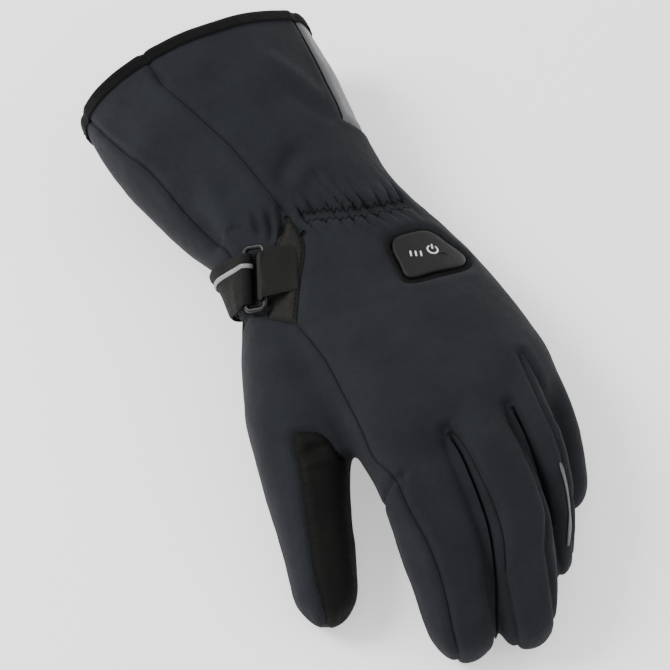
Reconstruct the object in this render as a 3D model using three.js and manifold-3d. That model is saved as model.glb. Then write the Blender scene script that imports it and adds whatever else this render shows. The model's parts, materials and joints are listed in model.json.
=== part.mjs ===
// A padded winter glove for the left hand with a heater button, a long gauntlet and a wrist strap.
// It lies palm down. Millimetres, +Z up, the fingers point along -Y and the cuff opens toward +Y.
import * as THREE from 'three';
import { mergeVertices } from 'three/addons/utils/BufferGeometryUtils.js';
import Module from 'manifold-3d';

// Overall sizes of the padded glove.
const gloveLength = 336; // rim of the cuff to the tip of the middle finger
const cuffWidth = 131; // across the opening
const cuffHeight = 82; // opening, from the table up
const handWidth = 110; // across the back at the knuckles
const handHeight = 62; // back of the hand over the table
const fingerWidth = 34; // unit for the width and depth of thumb and fingers
const tipLength = 16; // rounded end of each finger
const wall = 3; // outer cloth, padding and lining together
const seamGap = 0.3; // between two neighbouring panels
const pieceGap = 0.5; // between a piece laid on the glove and the glove

// Trim.
const bindingDepth = 4.2; // binding tape, how far it reaches down from the rim
const bindingThick = 1.1;
const strapWidth = 25;
const strapThick = 1.8;
const stripeWidth = 2.2; // piping along the strap
const stripeThick = 0.7;
const wireRadius = 1.3; // rectangular ring
const ringSpan = 10.5; // between the two long bars
const ringPlay = 1.6; // beside the strap inside the ring
const cornerRadius = 2.6; // corners of the ring, to the middle of the wire
const keeperLength = 10; // webbing that holds the ring to the patch
const keeperWidth = 21.5;
const buttonRim = 2.4; // width of the sunk border round the button
const buttonProud = 1.1;
const buttonSunk = 1.2;
const buttonCorner = 0.28; // share of each side that a corner of the button rounds off

// The strap's way round the wrist, in degrees of turn: 0 right, 90 top, 180 left, 270 underneath.
const strapStart = 285; // sewn end under the wrist
const tailTurn = 214; // end of the tail that comes back through the ring
const ringTurn = 159; // bar of the ring that carries the strap
const slopeLength = 13; // over which a returning layer comes down to the one below it
const stripePlace = 0.24; // middle of the piping, as a share of strapWidth off the strap's middle

// Height of the seam round hand and fingers, as a share of half the height there, from the middle.
const sideSeam = { hand: -0.28, cuffLeft: 0.12 };

// How finely the soft forms are divided.
const fine = { bodySides: 32, bodySteps: 13, digitSides: 12, digitSteps: 8 };
const coarse = { bodySides: 20, bodySteps: 8, digitSides: 8, digitSteps: 6 };
const wireSides = 8;
const strapSteps = 16;

// Exponent of the oval across a finger: above 2 its shoulders are fuller.
const digitSquare = 2.4;

// Rounding of a finger's end: places along tipLength with a ring, exponent of the curve and the
// share of the width that is left at the very end.
const tipPlaces = [0.45, 0.78, 0.94, 1];
const tipSquare = 2.3;
const tipBlunt = 0.22;

// Cross sections from the rim to the wrist. along is a share of gloveLength, left and right of
// cuffWidth, base and top of cuffHeight. square is the exponent of the oval, lean is in degrees.
const gauntletTable = [
  { along: 0, left: -0.52, right: 0.455, base: 0.02, top: 0.99, square: 2.1, lean: -9 },
  { along: 0.045, left: -0.53, right: 0.453, base: 0, top: 0.98, square: 2.1, lean: -9 },
  { along: 0.104, left: -0.519, right: 0.443, base: -0.024, top: 0.951, square: 2.1, lean: -8 },
  { along: 0.179, left: -0.473, right: 0.412, base: -0.024, top: 0.878, square: 2.1, lean: -6 },
  { along: 0.238, left: -0.427, right: 0.397, base: 0, top: 0.829, square: 2.1, lean: -4 },
  { along: 0.292, left: -0.382, right: 0.389, base: 0.073, top: 0.793, square: 2.2, lean: -3 },
];

// Cross sections from the wrist to the knuckles: left and right are shares of handWidth, base and
// top of handHeight.
const handTable = [
  { along: 0.327, left: -0.445, right: 0.482, base: 0.145, top: 1.016, square: 2.2, lean: -3 },
  { along: 0.369, left: -0.464, right: 0.518, base: 0.137, top: 1, square: 2.3, lean: -3 },
  { along: 0.417, left: -0.482, right: 0.564, base: 0.048, top: 1, square: 2.3, lean: -4 },
  { along: 0.476, left: -0.482, right: 0.6, base: -0.032, top: 1.016, square: 2.3, lean: -6 },
  { along: 0.536, left: -0.455, right: 0.618, base: -0.032, top: 1.048, square: 2.3, lean: -8 },
  { along: 0.595, left: -0.418, right: 0.627, base: 0.032, top: 1.065, square: 2.3, lean: -9 },
  { along: 0.655, left: -0.4, right: 0.609, base: 0.161, top: 1.085, square: 2.4, lean: -10 },
  { along: 0.696, left: -0.373, right: 0.573, base: 0.323, top: 1.065, square: 2.4, lean: -11 },
  { along: 0.726, left: -0.3, right: 0.491, base: 0.484, top: 0.984, square: 2.3, lean: -11 },
];

// Thumb and fingers: middle line and half sizes. side is a share of handWidth, along of
// gloveLength, rise of handHeight, wide and deep of fingerWidth.
const digitTable = {
  thumb: [
    { side: -0.227, along: 0.375, rise: 0.532, wide: 0.529, deep: 0.588 },
    { side: -0.327, along: 0.44, rise: 0.516, wide: 0.647, deep: 0.676 },
    { side: -0.418, along: 0.512, rise: 0.5, wide: 0.735, deep: 0.706 },
    { side: -0.5, along: 0.577, rise: 0.468, wide: 0.735, deep: 0.676 },
    { side: -0.582, along: 0.637, rise: 0.419, wide: 0.632, deep: 0.618 },
    { side: -0.655, along: 0.696, rise: 0.363, wide: 0.544, deep: 0.559 },
    { side: -0.714, along: 0.753, rise: 0.298, wide: 0.488, deep: 0.485 },
    { side: -0.773, along: 0.802, rise: 0.229, wide: 0.435, deep: 0.426 },
    { side: -0.823, along: 0.839, rise: 0.165, wide: 0.318, deep: 0.324 },
  ],
  index: [
    { side: -0.155, along: 0.61, rise: 0.677, wide: 0.441, deep: 0.441 },
    { side: -0.227, along: 0.673, rise: 0.71, wide: 0.5, deep: 0.5 },
    { side: -0.239, along: 0.732, rise: 0.742, wide: 0.529, deep: 0.515 },
    { side: -0.256, along: 0.786, rise: 0.702, wide: 0.541, deep: 0.5 },
    { side: -0.284, along: 0.836, rise: 0.613, wide: 0.544, deep: 0.485 },
    { side: -0.309, along: 0.884, rise: 0.492, wide: 0.532, deep: 0.471 },
    { side: -0.342, along: 0.929, rise: 0.315, wide: 0.5, deep: 0.456 },
    { side: -0.382, along: 0.976, rise: 0.121, wide: 0.368, deep: 0.353 },
  ],
  middle: [
    { side: 0.082, along: 0.61, rise: 0.71, wide: 0.382, deep: 0.412 },
    { side: 0.082, along: 0.679, rise: 0.774, wide: 0.441, deep: 0.471 },
    { side: 0.075, along: 0.732, rise: 0.79, wide: 0.459, deep: 0.5 },
    { side: 0.062, along: 0.795, rise: 0.766, wide: 0.471, deep: 0.5 },
    { side: 0.041, along: 0.851, rise: 0.694, wide: 0.476, deep: 0.476 },
    { side: -0.002, along: 0.905, rise: 0.565, wide: 0.453, deep: 0.459 },
    { side: -0.073, along: 0.955, rise: 0.347, wide: 0.412, deep: 0.435 },
    { side: -0.141, along: 1, rise: 0.121, wide: 0.353, deep: 0.338 },
  ],
  ring: [
    { side: 0.336, along: 0.61, rise: 0.661, wide: 0.353, deep: 0.412 },
    { side: 0.341, along: 0.679, rise: 0.71, wide: 0.368, deep: 0.441 },
    { side: 0.327, along: 0.732, rise: 0.718, wide: 0.344, deep: 0.456 },
    { side: 0.311, along: 0.786, rise: 0.661, wide: 0.306, deep: 0.441 },
    { side: 0.281, along: 0.833, rise: 0.556, wide: 0.268, deep: 0.406 },
    { side: 0.238, along: 0.872, rise: 0.411, wide: 0.247, deep: 0.376 },
    { side: 0.181, along: 0.902, rise: 0.258, wide: 0.25, deep: 0.353 },
    { side: 0.113, along: 0.926, rise: 0.129, wide: 0.265, deep: 0.324 },
  ],
  little: [
    { side: 0.5, along: 0.625, rise: 0.5, wide: 0.324, deep: 0.382 },
    { side: 0.508, along: 0.679, rise: 0.5, wide: 0.324, deep: 0.412 },
    { side: 0.5, along: 0.726, rise: 0.448, wide: 0.306, deep: 0.4 },
    { side: 0.48, along: 0.771, rise: 0.36, wide: 0.3, deep: 0.388 },
    { side: 0.443, along: 0.807, rise: 0.268, wide: 0.318, deep: 0.371 },
    { side: 0.406, along: 0.833, rise: 0.198, wide: 0.318, deep: 0.347 },
    { side: 0.364, along: 0.857, rise: 0.137, wide: 0.294, deep: 0.324 },
  ],
};

// Seams seen from above. side runs from -1 at the left edge of the form to 1 at its right edge.
const seamTable = {
  backToGusset: [
    { form: 'trunk', along: 0, side: -0.432 },
    { form: 'trunk', along: 0.058, side: -0.414 },
    { form: 'trunk', along: 0.132, side: -0.317 },
    { form: 'trunk', along: 0.181, side: -0.249 },
    { form: 'trunk', along: 0.248, side: -0.243 },
    { form: 'trunk', along: 0.296, side: -0.27 },
  ],
  backToPatch: [
    { form: 'trunk', along: 0.296, side: -0.27 },
    { form: 'trunk', along: 0.348, side: -0.257 },
    { form: 'trunk', along: 0.373, side: -0.306 },
    { form: 'trunk', along: 0.415, side: -0.501 },
    { form: 'trunk', along: 0.467, side: -0.716 },
  ],
  backToThumb: [
    { form: 'trunk', along: 0.467, side: -0.716 },
    { form: 'trunk', along: 0.518, side: -0.731 },
    { form: 'trunk', along: 0.565, side: -0.784 },
    { form: 'trunk', along: 0.608, side: -0.845 },
    { form: 'trunk', along: 0.66, side: -0.91 },
    { form: 'index', along: 0.751, side: -0.586 },
  ],
  backToIndexSide: [
    { form: 'index', along: 0.751, side: -0.586 },
    { form: 'index', along: 0.793, side: -0.573 },
    { form: 'index', along: 0.825, side: -0.474 },
    { form: 'index', along: 0.885, side: -0.344 },
    { form: 'index', along: 0.92, side: -0.351 },
    { form: 'index', along: 0.952, side: -0.429 },
    { form: 'index', along: 1.06, side: -0.6 },
  ],
  gussetToUnder: [
    { form: 'trunk', along: 0, side: -0.933 },
    { form: 'trunk', along: 0.046, side: -0.92 },
    { form: 'trunk', along: 0.098, side: -0.89 },
    { form: 'trunk', along: 0.139, side: -0.863 },
    { form: 'trunk', along: 0.198, side: -0.866 },
    { form: 'trunk', along: 0.271, side: -0.872 },
    { form: 'trunk', along: 0.311, side: -0.88 },
    { form: 'trunk', along: 0.403, side: -0.97 },
  ],
  patchLeft: [
    { form: 'trunk', along: 0.296, side: -0.27 },
    { form: 'trunk', along: 0.336, side: -0.498 },
    { form: 'trunk', along: 0.362, side: -0.617 },
    { form: 'trunk', along: 0.397, side: -0.745 },
    { form: 'trunk', along: 0.433, side: -0.869 },
  ],
  patchEnd: [
    { form: 'trunk', along: 0.467, side: -0.716 },
    { form: 'trunk', along: 0.433, side: -0.869 },
  ],
  wristToThumb: [
    { form: 'trunk', along: 0.433, side: -0.869 },
    { form: 'trunk', along: 0.403, side: -0.97 },
    { form: 'trunk', along: 0.39, side: -1.8 },
  ],
  thumbLeather: [
    { form: 'thumb', along: 0.66, side: 1.05 },
    { form: 'thumb', along: 0.634, side: 0.561 },
    { form: 'thumb', along: 0.62, side: 0.328 },
    { form: 'thumb', along: 0.61, side: 0.037 },
    { form: 'thumb', along: 0.605, side: -0.161 },
    { form: 'thumb', along: 0.655, side: -0.194 },
    { form: 'thumb', along: 0.704, side: -0.296 },
    { form: 'thumb', along: 0.744, side: -0.283 },
    { form: 'thumb', along: 0.781, side: -0.338 },
    { form: 'thumb', along: 0.821, side: -0.2 },
    { form: 'thumb', along: 0.9, side: -0.45 },
  ],
  // Runs between thumb and index finger, clear of both.
  thumbCleft: [
    { form: 'index', along: 0.751, side: -0.586 },
    { form: 'index', along: 0.758, side: -1.56 },
    { form: 'index', along: 0.89, side: -1.52 },
    { form: 'index', along: 1.06, side: -1.8 },
  ],
  reflective: [
    { form: 'trunk', along: -0.03, side: 0.829 },
    { form: 'trunk', along: 0.063, side: 0.826 },
    { form: 'trunk', along: 0.125, side: 0.823 },
    { form: 'trunk', along: 0.192, side: 0.808 },
    { form: 'trunk', along: 0.203, side: 1.3 },
  ],
  button: [
    { form: 'trunk', along: 0.426, side: 0.325 },
    { form: 'trunk', along: 0.416, side: 0.733 },
    { form: 'trunk', along: 0.47, side: 0.83 },
    { form: 'trunk', along: 0.492, side: 0.76 },
    { form: 'trunk', along: 0.487, side: 0.236 },
  ],
};

// Side strips between the fingers: left edge on one finger, right edge on the next. The rows of a
// strip share their along.
const stripTable = {
  fourchette_index_middle: [
    { along: 0.71, left: ['index', 0.93], right: ['middle', -0.72] },
    { along: 0.745, left: ['index', 0.9], right: ['middle', -0.66] },
    { along: 0.8, left: ['index', 0.9], right: ['middle', -0.64] },
    { along: 0.88, left: ['index', 0.9], right: ['middle', -0.62] },
    { along: 0.94, left: ['index', 0.8], right: ['middle', -0.72] },
    { along: 1.06, left: ['index', 0.75], right: ['middle', -0.8] },
  ],
  fourchette_middle_ring: [
    { along: 0.71, left: ['middle', 0.92], right: ['ring', -0.72] },
    { along: 0.745, left: ['middle', 0.9], right: ['ring', -0.7] },
    { along: 0.8, left: ['middle', 0.9], right: ['ring', -0.7] },
    { along: 0.88, left: ['middle', 0.82], right: ['ring', -0.5] },
    { along: 0.908, left: ['middle', 0.6], right: ['ring', 0] },
    { along: 0.93, left: ['middle', 0.55], right: ['ring', 0.5] },
    { along: 1.06, left: ['middle', 0.7], right: ['ring', 0.8] },
  ],
  fourchette_ring_little: [
    { along: 0.664, left: ['ring', 0.7], right: ['little', -0.45] },
    { along: 0.71, left: ['ring', 0.55], right: ['little', -0.45] },
    { along: 0.745, left: ['ring', 0.5], right: ['little', -0.5] },
    { along: 0.8, left: ['ring', 0.56], right: ['little', -0.45] },
    { along: 0.85, left: ['ring', 0.6], right: ['little', -0.3] },
    { along: 0.96, left: ['ring', 0.9], right: ['little', 0.6] },
  ],
};

// Where the strap lies: turn is the angle round the wrist (0 right, 90 top, 180 left), along the
// middle of the strap.
const strapTable = [
  { turn: 285, along: 0.32 },
  { turn: 250, along: 0.322 },
  { turn: 220, along: 0.326 },
  { turn: 200, along: 0.331 },
  { turn: 182, along: 0.34 },
  { turn: 170, along: 0.353 },
  { turn: 159, along: 0.367 },
  { turn: 149, along: 0.379 },
  { turn: 135, along: 0.392 },
  { turn: 118, along: 0.404 },
];

const digitNames = Object.keys(digitTable);

const wasm = await Module();
wasm.setup();

// Turns a closed surface into a solid that can be cut and joined.
function solidOf(geometry) {
  const plain = geometry.clone();
  for (const name of Object.keys(plain.attributes)) {
    if (name !== 'position') plain.deleteAttribute(name);
  }
  const merged = mergeVertices(plain, 1e-5);
  return new wasm.Manifold(new wasm.Mesh({
    numProp: 3,
    vertProperties: Float32Array.from(merged.attributes.position.array),
    triVerts: Uint32Array.from(merged.index.array),
  }));
}

function geometryOf(solid) {
  const mesh = solid.getMesh();
  const geometry = new THREE.BufferGeometry();
  geometry.setAttribute('position', new THREE.BufferAttribute(mesh.vertProperties, 3));
  geometry.setIndex(new THREE.BufferAttribute(mesh.triVerts, 1));
  return geometry;
}

// Closed skin through rings of points that all have the same number of points. A looped skin
// joins its last ring to its first, any other one is capped at both ends.
function skin(rings, looped = false) {
  const count = rings[0].length;
  const position = rings.flat().flatMap((p) => [p.x, p.y, p.z]);
  const index = [];
  const bands = looped ? rings.length : rings.length - 1;
  for (let i = 0; i < bands; i += 1) {
    const next = ((i + 1) % rings.length) * count;
    for (let j = 0; j < count; j += 1) {
      const k = (j + 1) % count;
      const a = i * count + j;
      const b = i * count + k;
      index.push(a, b, next + j, b, next + k, next + j);
    }
  }
  if (!looped) {
    const last = (rings.length - 1) * count;
    [0, last].forEach((start, end) => {
      const middle = new THREE.Vector3();
      rings[end === 0 ? 0 : rings.length - 1].forEach((p) => middle.add(p));
      middle.divideScalar(count);
      const centre = position.length / 3;
      position.push(middle.x, middle.y, middle.z);
      for (let j = 0; j < count; j += 1) {
        const k = (j + 1) % count;
        if (end === 0) index.push(centre, start + k, start + j);
        else index.push(centre, start + j, start + k);
      }
    });
  }
  const geometry = new THREE.BufferGeometry();
  geometry.setAttribute('position', new THREE.Float32BufferAttribute(position, 3));
  geometry.setIndex(index);
  return geometry;
}

// Smooth value of one column of a table at a place along the glove.
function column(rows, name, along, key = 'along') {
  let i = 0;
  while (i < rows.length - 2 && along > rows[i + 1][key]) i += 1;
  const row = (j) => rows[Math.min(Math.max(j, 0), rows.length - 1)];
  const span = row(i + 1)[key] - row(i)[key];
  const t = Math.min(Math.max((along - row(i)[key]) / span, 0), 1);
  const slope = (j) => {
    const reach = row(j + 1)[key] - row(j - 1)[key];
    return (span * (row(j + 1)[name] - row(j - 1)[name])) / reach;
  };
  const from = row(i)[name];
  const to = row(i + 1)[name];
  const ease = t * t * (3 - 2 * t);
  const start = t * (1 - t) ** 2 * slope(i);
  const end = t * t * (t - 1) * slope(i + 1);
  return from + (to - from) * ease + start + end;
}

const bodyRows = [
  ...gauntletTable.map((row) => ({
    along: row.along,
    left: row.left * cuffWidth,
    right: row.right * cuffWidth,
    base: row.base * cuffHeight,
    top: row.top * cuffHeight,
    square: row.square,
    lean: row.lean,
  })),
  ...handTable.map((row) => ({
    along: row.along,
    left: row.left * handWidth,
    right: row.right * handWidth,
    base: row.base * handHeight,
    top: row.top * handHeight,
    square: row.square,
    lean: row.lean,
  })),
];
const knuckleEnd = handTable.at(-1).along;

function section(along) {
  const at = (name) => column(bodyRows, name, along);
  return {
    y: -along * gloveLength,
    x: (at('left') + at('right')) / 2,
    z: (at('base') + at('top')) / 2,
    halfWidth: (at('right') - at('left')) / 2,
    halfHeight: (at('top') - at('base')) / 2,
    square: at('square'),
    lean: THREE.MathUtils.degToRad(at('lean')),
  };
}

// Point of a cross section at a turn in degrees, moved out by an offset.
function onSection(place, turn, offset) {
  const angle = THREE.MathUtils.degToRad(turn);
  const across = Math.cos(angle);
  const upward = Math.sin(angle);
  const wide = Math.abs(across / (place.halfWidth + offset)) ** place.square;
  const high = Math.abs(upward / (place.halfHeight + offset)) ** place.square;
  const reach = (wide + high) ** (-1 / place.square);
  const x = reach * across;
  const z = reach * upward;
  return new THREE.Vector3(
    place.x + x * Math.cos(place.lean) - z * Math.sin(place.lean),
    place.y,
    place.z + x * Math.sin(place.lean) + z * Math.cos(place.lean),
  );
}

// Gauntlet, wrist and hand as one form, from one place along the glove to another.
function bodyForm(offset, from, to, steps, sides = fine.bodySides) {
  const rings = [];
  for (let i = 0; i <= steps; i += 1) {
    const along = from + ((to - from) * i) / steps;
    const place = section(along);
    const ring = [];
    for (let j = 0; j < sides; j += 1) ring.push(onSection(place, (360 * j) / sides, offset));
    rings.push(ring);
  }
  return solidOf(skin(rings));
}

function digitRows(name) {
  return digitTable[name].map((row) => ({
    along: row.along,
    x: row.side * handWidth,
    y: -row.along * gloveLength,
    z: row.rise * handHeight,
    wide: row.wide * fingerWidth,
    deep: row.deep * fingerWidth,
  }));
}

// One finger or the thumb, rounded at its tip, moved out by an offset.
function digitForm(name, offset, detail) {
  const rows = digitRows(name);
  const path = new THREE.CatmullRomCurve3(
    rows.map((row) => new THREE.Vector3(row.x, row.y, row.z)), false, 'centripetal');
  const length = path.getLength();
  const perRow = 40;
  const lengths = path.getLengths(perRow * (rows.length - 1));
  const places = rows.map((row, i) => ({ ...row, share: lengths[perRow * i] / length }));
  const straight = length - tipLength;
  const stations = [];
  for (let i = 0; i < detail.digitSteps; i += 1) {
    stations.push((straight * i) / (detail.digitSteps - 1));
  }
  for (const share of tipPlaces) stations.push(straight + tipLength * share);
  const rings = stations.map((distance) => {
    const share = Math.min(distance / length, 1);
    const centre = path.getPointAt(share);
    const ahead = path.getTangentAt(share);
    const side = new THREE.Vector3(0, 0, 1).cross(ahead).normalize();
    const above = ahead.clone().cross(side).normalize();
    const end = THREE.MathUtils.clamp((distance - straight) / tipLength, 0, 1);
    const round = Math.max((1 - end ** tipSquare) ** (1 / tipSquare), tipBlunt);
    const wide = (column(places, 'wide', share, 'share') + offset) * round;
    const deep = (column(places, 'deep', share, 'share') + offset) * round;
    const ring = [];
    for (let j = 0; j < detail.digitSides; j += 1) {
      const angle = (2 * Math.PI * j) / detail.digitSides;
      const full = (value) => Math.sign(value) * Math.abs(value) ** (2 / digitSquare);
      ring.push(centre.clone()
        .addScaledVector(ahead, offset * end)
        .addScaledVector(side, wide * full(Math.cos(angle)))
        .addScaledVector(above, deep * full(Math.sin(angle))));
    }
    return ring;
  });
  return solidOf(skin(rings));
}

// Where a digit is at a place along the glove.
function lane(name, along) {
  const rows = digitRows(name);
  const place = {};
  for (const key of ['x', 'z', 'wide', 'deep']) place[key] = column(rows, key, along);
  return place;
}

// Point seen from above for one row of the seam table.
function spot(row) {
  const y = -row.along * gloveLength;
  if (row.form === 'trunk') {
    const place = section(row.along);
    return new THREE.Vector2(place.x + row.side * place.halfWidth, y);
  }
  const place = lane(row.form, row.along);
  return new THREE.Vector2(place.x + row.side * place.wide, y);
}

const seam = Object.fromEntries(
  Object.entries(seamTable).map(([name, rows]) => [name, rows.map(spot)]));
// Blocks that cut the glove reach this far to the sides, up and down, and past the rim.
const far = cuffWidth;
const tall = 1.5 * cuffHeight;
const beyond = 20;

// Upright block over an outline seen from above.
function upright(points, low = -tall, high = tall) {
  const geometry = new THREE.ExtrudeGeometry(new THREE.Shape(points), {
    depth: high - low,
    bevelEnabled: false,
    steps: 1,
  });
  return solidOf(geometry.translate(0, 0, low));
}

// Thin upright cut along a seam.
function cutAlong(points, width = seamGap) {
  const sides = points.map((point, i) => {
    const before = points[Math.max(i - 1, 0)];
    const after = points[Math.min(i + 1, points.length - 1)];
    const run = after.clone().sub(before).normalize();
    return new THREE.Vector2(-run.y, run.x).multiplyScalar(width / 2);
  });
  const one = points.map((point, i) => point.clone().add(sides[i]));
  const other = points.map((point, i) => point.clone().sub(sides[i]));
  return upright([...one, ...other.reverse()]);
}

// Everything under the seam that runs round the sides of hand and fingers, plus a lift. On the
// thumb's side of the gauntlet the seam runs higher.
function lowerHalf(lift) {
  const ease = THREE.MathUtils.smoothstep;
  const laneEdge = 0.6; // share of a digit's half width over which its own seam height holds
  const leftPart = 0.3; // share of the half width, left of which the seam follows cuffLeft
  const rows = [];
  for (let along = -0.06; along < 1.1; along += 0.07) {
    const place = section(Math.min(Math.max(along, 0), knuckleEnd));
    const cuff = 1 - ease(along, 0.38, 0.46);
    const bodyAt = (x) => {
      const share = x < place.x - leftPart * place.halfWidth
        ? sideSeam.hand + cuff * (sideSeam.cuffLeft - sideSeam.hand) : sideSeam.hand;
      return place.z + share * place.halfHeight + Math.tan(place.lean) * (x - place.x);
    };
    const points = digitNames.flatMap((name) => {
      const at = lane(name, along);
      const own = at.z + sideSeam.hand * at.deep;
      const weight = name === 'thumb' ? ease(along, 0.4, 0.5) : ease(along, 0.6, 0.72);
      return [-laneEdge, laneEdge].map((share) => {
        const x = at.x + share * at.wide;
        return new THREE.Vector3(x, 0, bodyAt(x) * (1 - weight) + own * weight);
      });
    });
    points.forEach((point, i) => {
      if (i > 0) point.x = Math.max(point.x, points[i - 1].x + 2 * seamGap);
    });
    const first = points[0].clone().setX(-far);
    const last = points.at(-1).clone().setX(far);
    if (along < 0.6) last.z = bodyAt(place.x + place.halfWidth);
    rows.push([first, ...points, last].map((p) => p.setY(-along * gloveLength).setZ(p.z + lift)));
  }
  const rings = rows.map((row) => {
    const under = row.map((p) => new THREE.Vector3(p.x, p.y, -tall)).reverse();
    return [...row, ...under];
  });
  const position = rings.flat().flatMap((p) => [p.x, p.y, p.z]);
  const across = rows[0].length;
  const count = 2 * across;
  const index = [];
  for (let i = 0; i + 1 < rings.length; i += 1) {
    for (let j = 0; j < count; j += 1) {
      const k = (j + 1) % count;
      const a = i * count + j;
      const b = i * count + k;
      index.push(a, a + count, b, b, a + count, b + count);
    }
  }
  const last = (rings.length - 1) * count;
  for (let j = 0; j + 1 < across; j += 1) {
    const k = count - 1 - j;
    index.push(j, j + 1, k, j + 1, k - 1, k);
    index.push(last + j, last + k, last + j + 1, last + j + 1, last + k, last + k - 1);
  }
  const geometry = new THREE.BufferGeometry();
  geometry.setAttribute('position', new THREE.Float32BufferAttribute(position, 3));
  geometry.setIndex(index);
  return solidOf(geometry);
}

const lipShare = 0.02;
const wallShare = wall / gloveLength;
const belowFloor = (height) => upright(
  [[-far, far], [-far, -2 * gloveLength], [far, -2 * gloveLength], [far, far]]
    .map(([x, y]) => new THREE.Vector2(x, y)), -tall, height);

// The glove's whole outside and its hollow, both flat where the glove rests on the table.
function outside(offset) {
  let form = bodyForm(offset, 0, knuckleEnd, fine.bodySteps);
  for (const name of digitNames) form = form.add(digitForm(name, offset, fine));
  return form.subtract(belowFloor(0));
}
function hollow() {
  const { bodySteps, bodySides } = coarse;
  let form = bodyForm(-wall, -lipShare, knuckleEnd - wallShare, bodySteps, bodySides);
  for (const name of digitNames) form = form.add(digitForm(name, -wall, coarse));
  return form.subtract(belowFloor(wall));
}
const cavity = hollow();
const shell = outside(0).subtract(cavity);

// Outlines of the panels seen from above.
const reversed = (points) => [...points].reverse();
const corner = (x, y) => new THREE.Vector2(x, y);
const tipLine = -1.06 * gloveLength;
const rimPoint = (points) => corner(points[0].x, beyond);
const join = (...lists) => lists.flat().filter(
  (p, i, all) => i === 0 || p.distanceTo(all[i - 1]) > 1e-6);

const mainSeam = join(seam.backToGusset, seam.backToPatch, seam.backToThumb, seam.backToIndexSide);
const backArea = upright(join(
  [rimPoint(mainSeam)], mainSeam, [corner(far, tipLine), corner(far, beyond)]));
const gussetArea = upright(join(
  [rimPoint(seam.backToGusset)], seam.backToGusset, seam.patchLeft,
  seam.wristToThumb.slice(0, 2), reversed(seam.gussetToUnder), [rimPoint(seam.gussetToUnder)]));
const patchArea = upright(join(
  seam.backToPatch, seam.patchEnd, reversed(seam.patchLeft)).slice(0, -1));
const thumbSideArea = upright(join(
  reversed(seam.wristToThumb), reversed(seam.patchEnd), seam.backToThumb, seam.thumbCleft,
  [corner(-far, tipLine)]));
const leatherArea = upright(join(
  seam.thumbLeather, [seam.thumbCleft[2], seam.thumbCleft[1]]));
const indexSideArea = upright(join(
  seam.backToIndexSide, reversed(seam.thumbCleft)).slice(0, -1));
const leftOfGusset = join(
  [corner(-far, beyond), rimPoint(seam.gussetToUnder)], seam.gussetToUnder,
  [corner(-far, seam.gussetToUnder.at(-1).y)]);
const reflectiveArea = upright(join(
  seam.reflective, [corner(far, seam.reflective.at(-1).y), corner(far, beyond),
    corner(seam.reflective[0].x, beyond)]));

function stripOutline(name, grow) {
  const rows = stripTable[name];
  const edge = (row, side, sign) => {
    const [digit, share] = row[side];
    const place = lane(digit, row.along);
    return corner(place.x + share * place.wide + sign * grow, -row.along * gloveLength);
  };
  const left = rows.map((row) => edge(row, 'left', -1));
  const right = rows.map((row) => edge(row, 'right', 1));
  left[0].y += grow;
  right[0].y += grow;
  return [...left, ...right.reverse()];
}

// Button outline with rounded corners, grown by an amount.
function buttonOutline(grow) {
  const middle = seam.button.reduce((sum, p) => sum.add(p), corner(0, 0))
    .divideScalar(seam.button.length);
  const grown = seam.button.map((p) => {
    const run = p.clone().sub(middle);
    return middle.clone().addScaledVector(run, 1 + grow / run.length());
  });
  const shape = new THREE.Shape();
  grown.forEach((p, i) => {
    const before = grown.at(i - 1).clone().lerp(p, 1 - buttonCorner);
    const after = p.clone().lerp(grown[(i + 1) % grown.length], buttonCorner);
    if (i === 0) shape.moveTo(before.x, before.y);
    else shape.lineTo(before.x, before.y);
    shape.quadraticCurveTo(p.x, p.y, after.x, after.y);
  });
  shape.closePath();
  return shape.getPoints(3).slice(0, -1);
}

// Upper and lower halves. The panel under the gauntlet also takes the side left of the gusset.
const sideLeft = upright(leftOfGusset);
const lower = lowerHalf(0).add(sideLeft);
const upper = shell.subtract(lowerHalf(seamGap)).subtract(sideLeft)
  .subtract(cutAlong(seam.gussetToUnder, 2 * seamGap));
const seamCuts = [
  mainSeam, seam.patchLeft, seam.patchEnd, seam.wristToThumb, seam.thumbLeather,
  seam.thumbCleft.slice(0, 2), seam.reflective,
].map((points) => cutAlong(points));
const cutUpper = seamCuts.reduce((form, cut) => form.subtract(cut), upper);

// Seam across the underside of the wrist.
const wristLine = [corner(-far, -0.4 * gloveLength), corner(far, -0.36 * gloveLength)];
const wristArea = upright([...wristLine, corner(far, beyond), corner(-far, beyond)]);
const handArea = upright([...wristLine, corner(far, tipLine), corner(-far, tipLine)]);
const lowerShell = shell.intersect(lower).subtract(cutAlong(wristLine));

const strips = Object.keys(stripTable);
const stripForms = Object.fromEntries(
  strips.map((name) => [name, cutUpper.intersect(upright(stripOutline(name, 0)))]));
let backPanel = cutUpper.intersect(backArea).subtract(reflectiveArea)
  .subtract(upright(buttonOutline(buttonRim + seamGap)));
for (const name of strips) backPanel = backPanel.subtract(upright(stripOutline(name, seamGap)));

const buttonTop = bodyForm(buttonProud, 0, knuckleEnd, fine.bodySteps);
const borderTop = bodyForm(-buttonSunk, 0, knuckleEnd, fine.bodySteps);
const upperSpace = upright([corner(-far, far), corner(-far, tipLine), corner(far, tipLine),
  corner(far, far)], handHeight / 2, tall);
const buttonPad = buttonTop.subtract(cavity).intersect(upperSpace)
  .intersect(upright(buttonOutline(0)));
const buttonBorder = borderTop.subtract(cavity).intersect(upperSpace)
  .intersect(upright(buttonOutline(buttonRim)).subtract(upright(buttonOutline(seamGap))));

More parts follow.
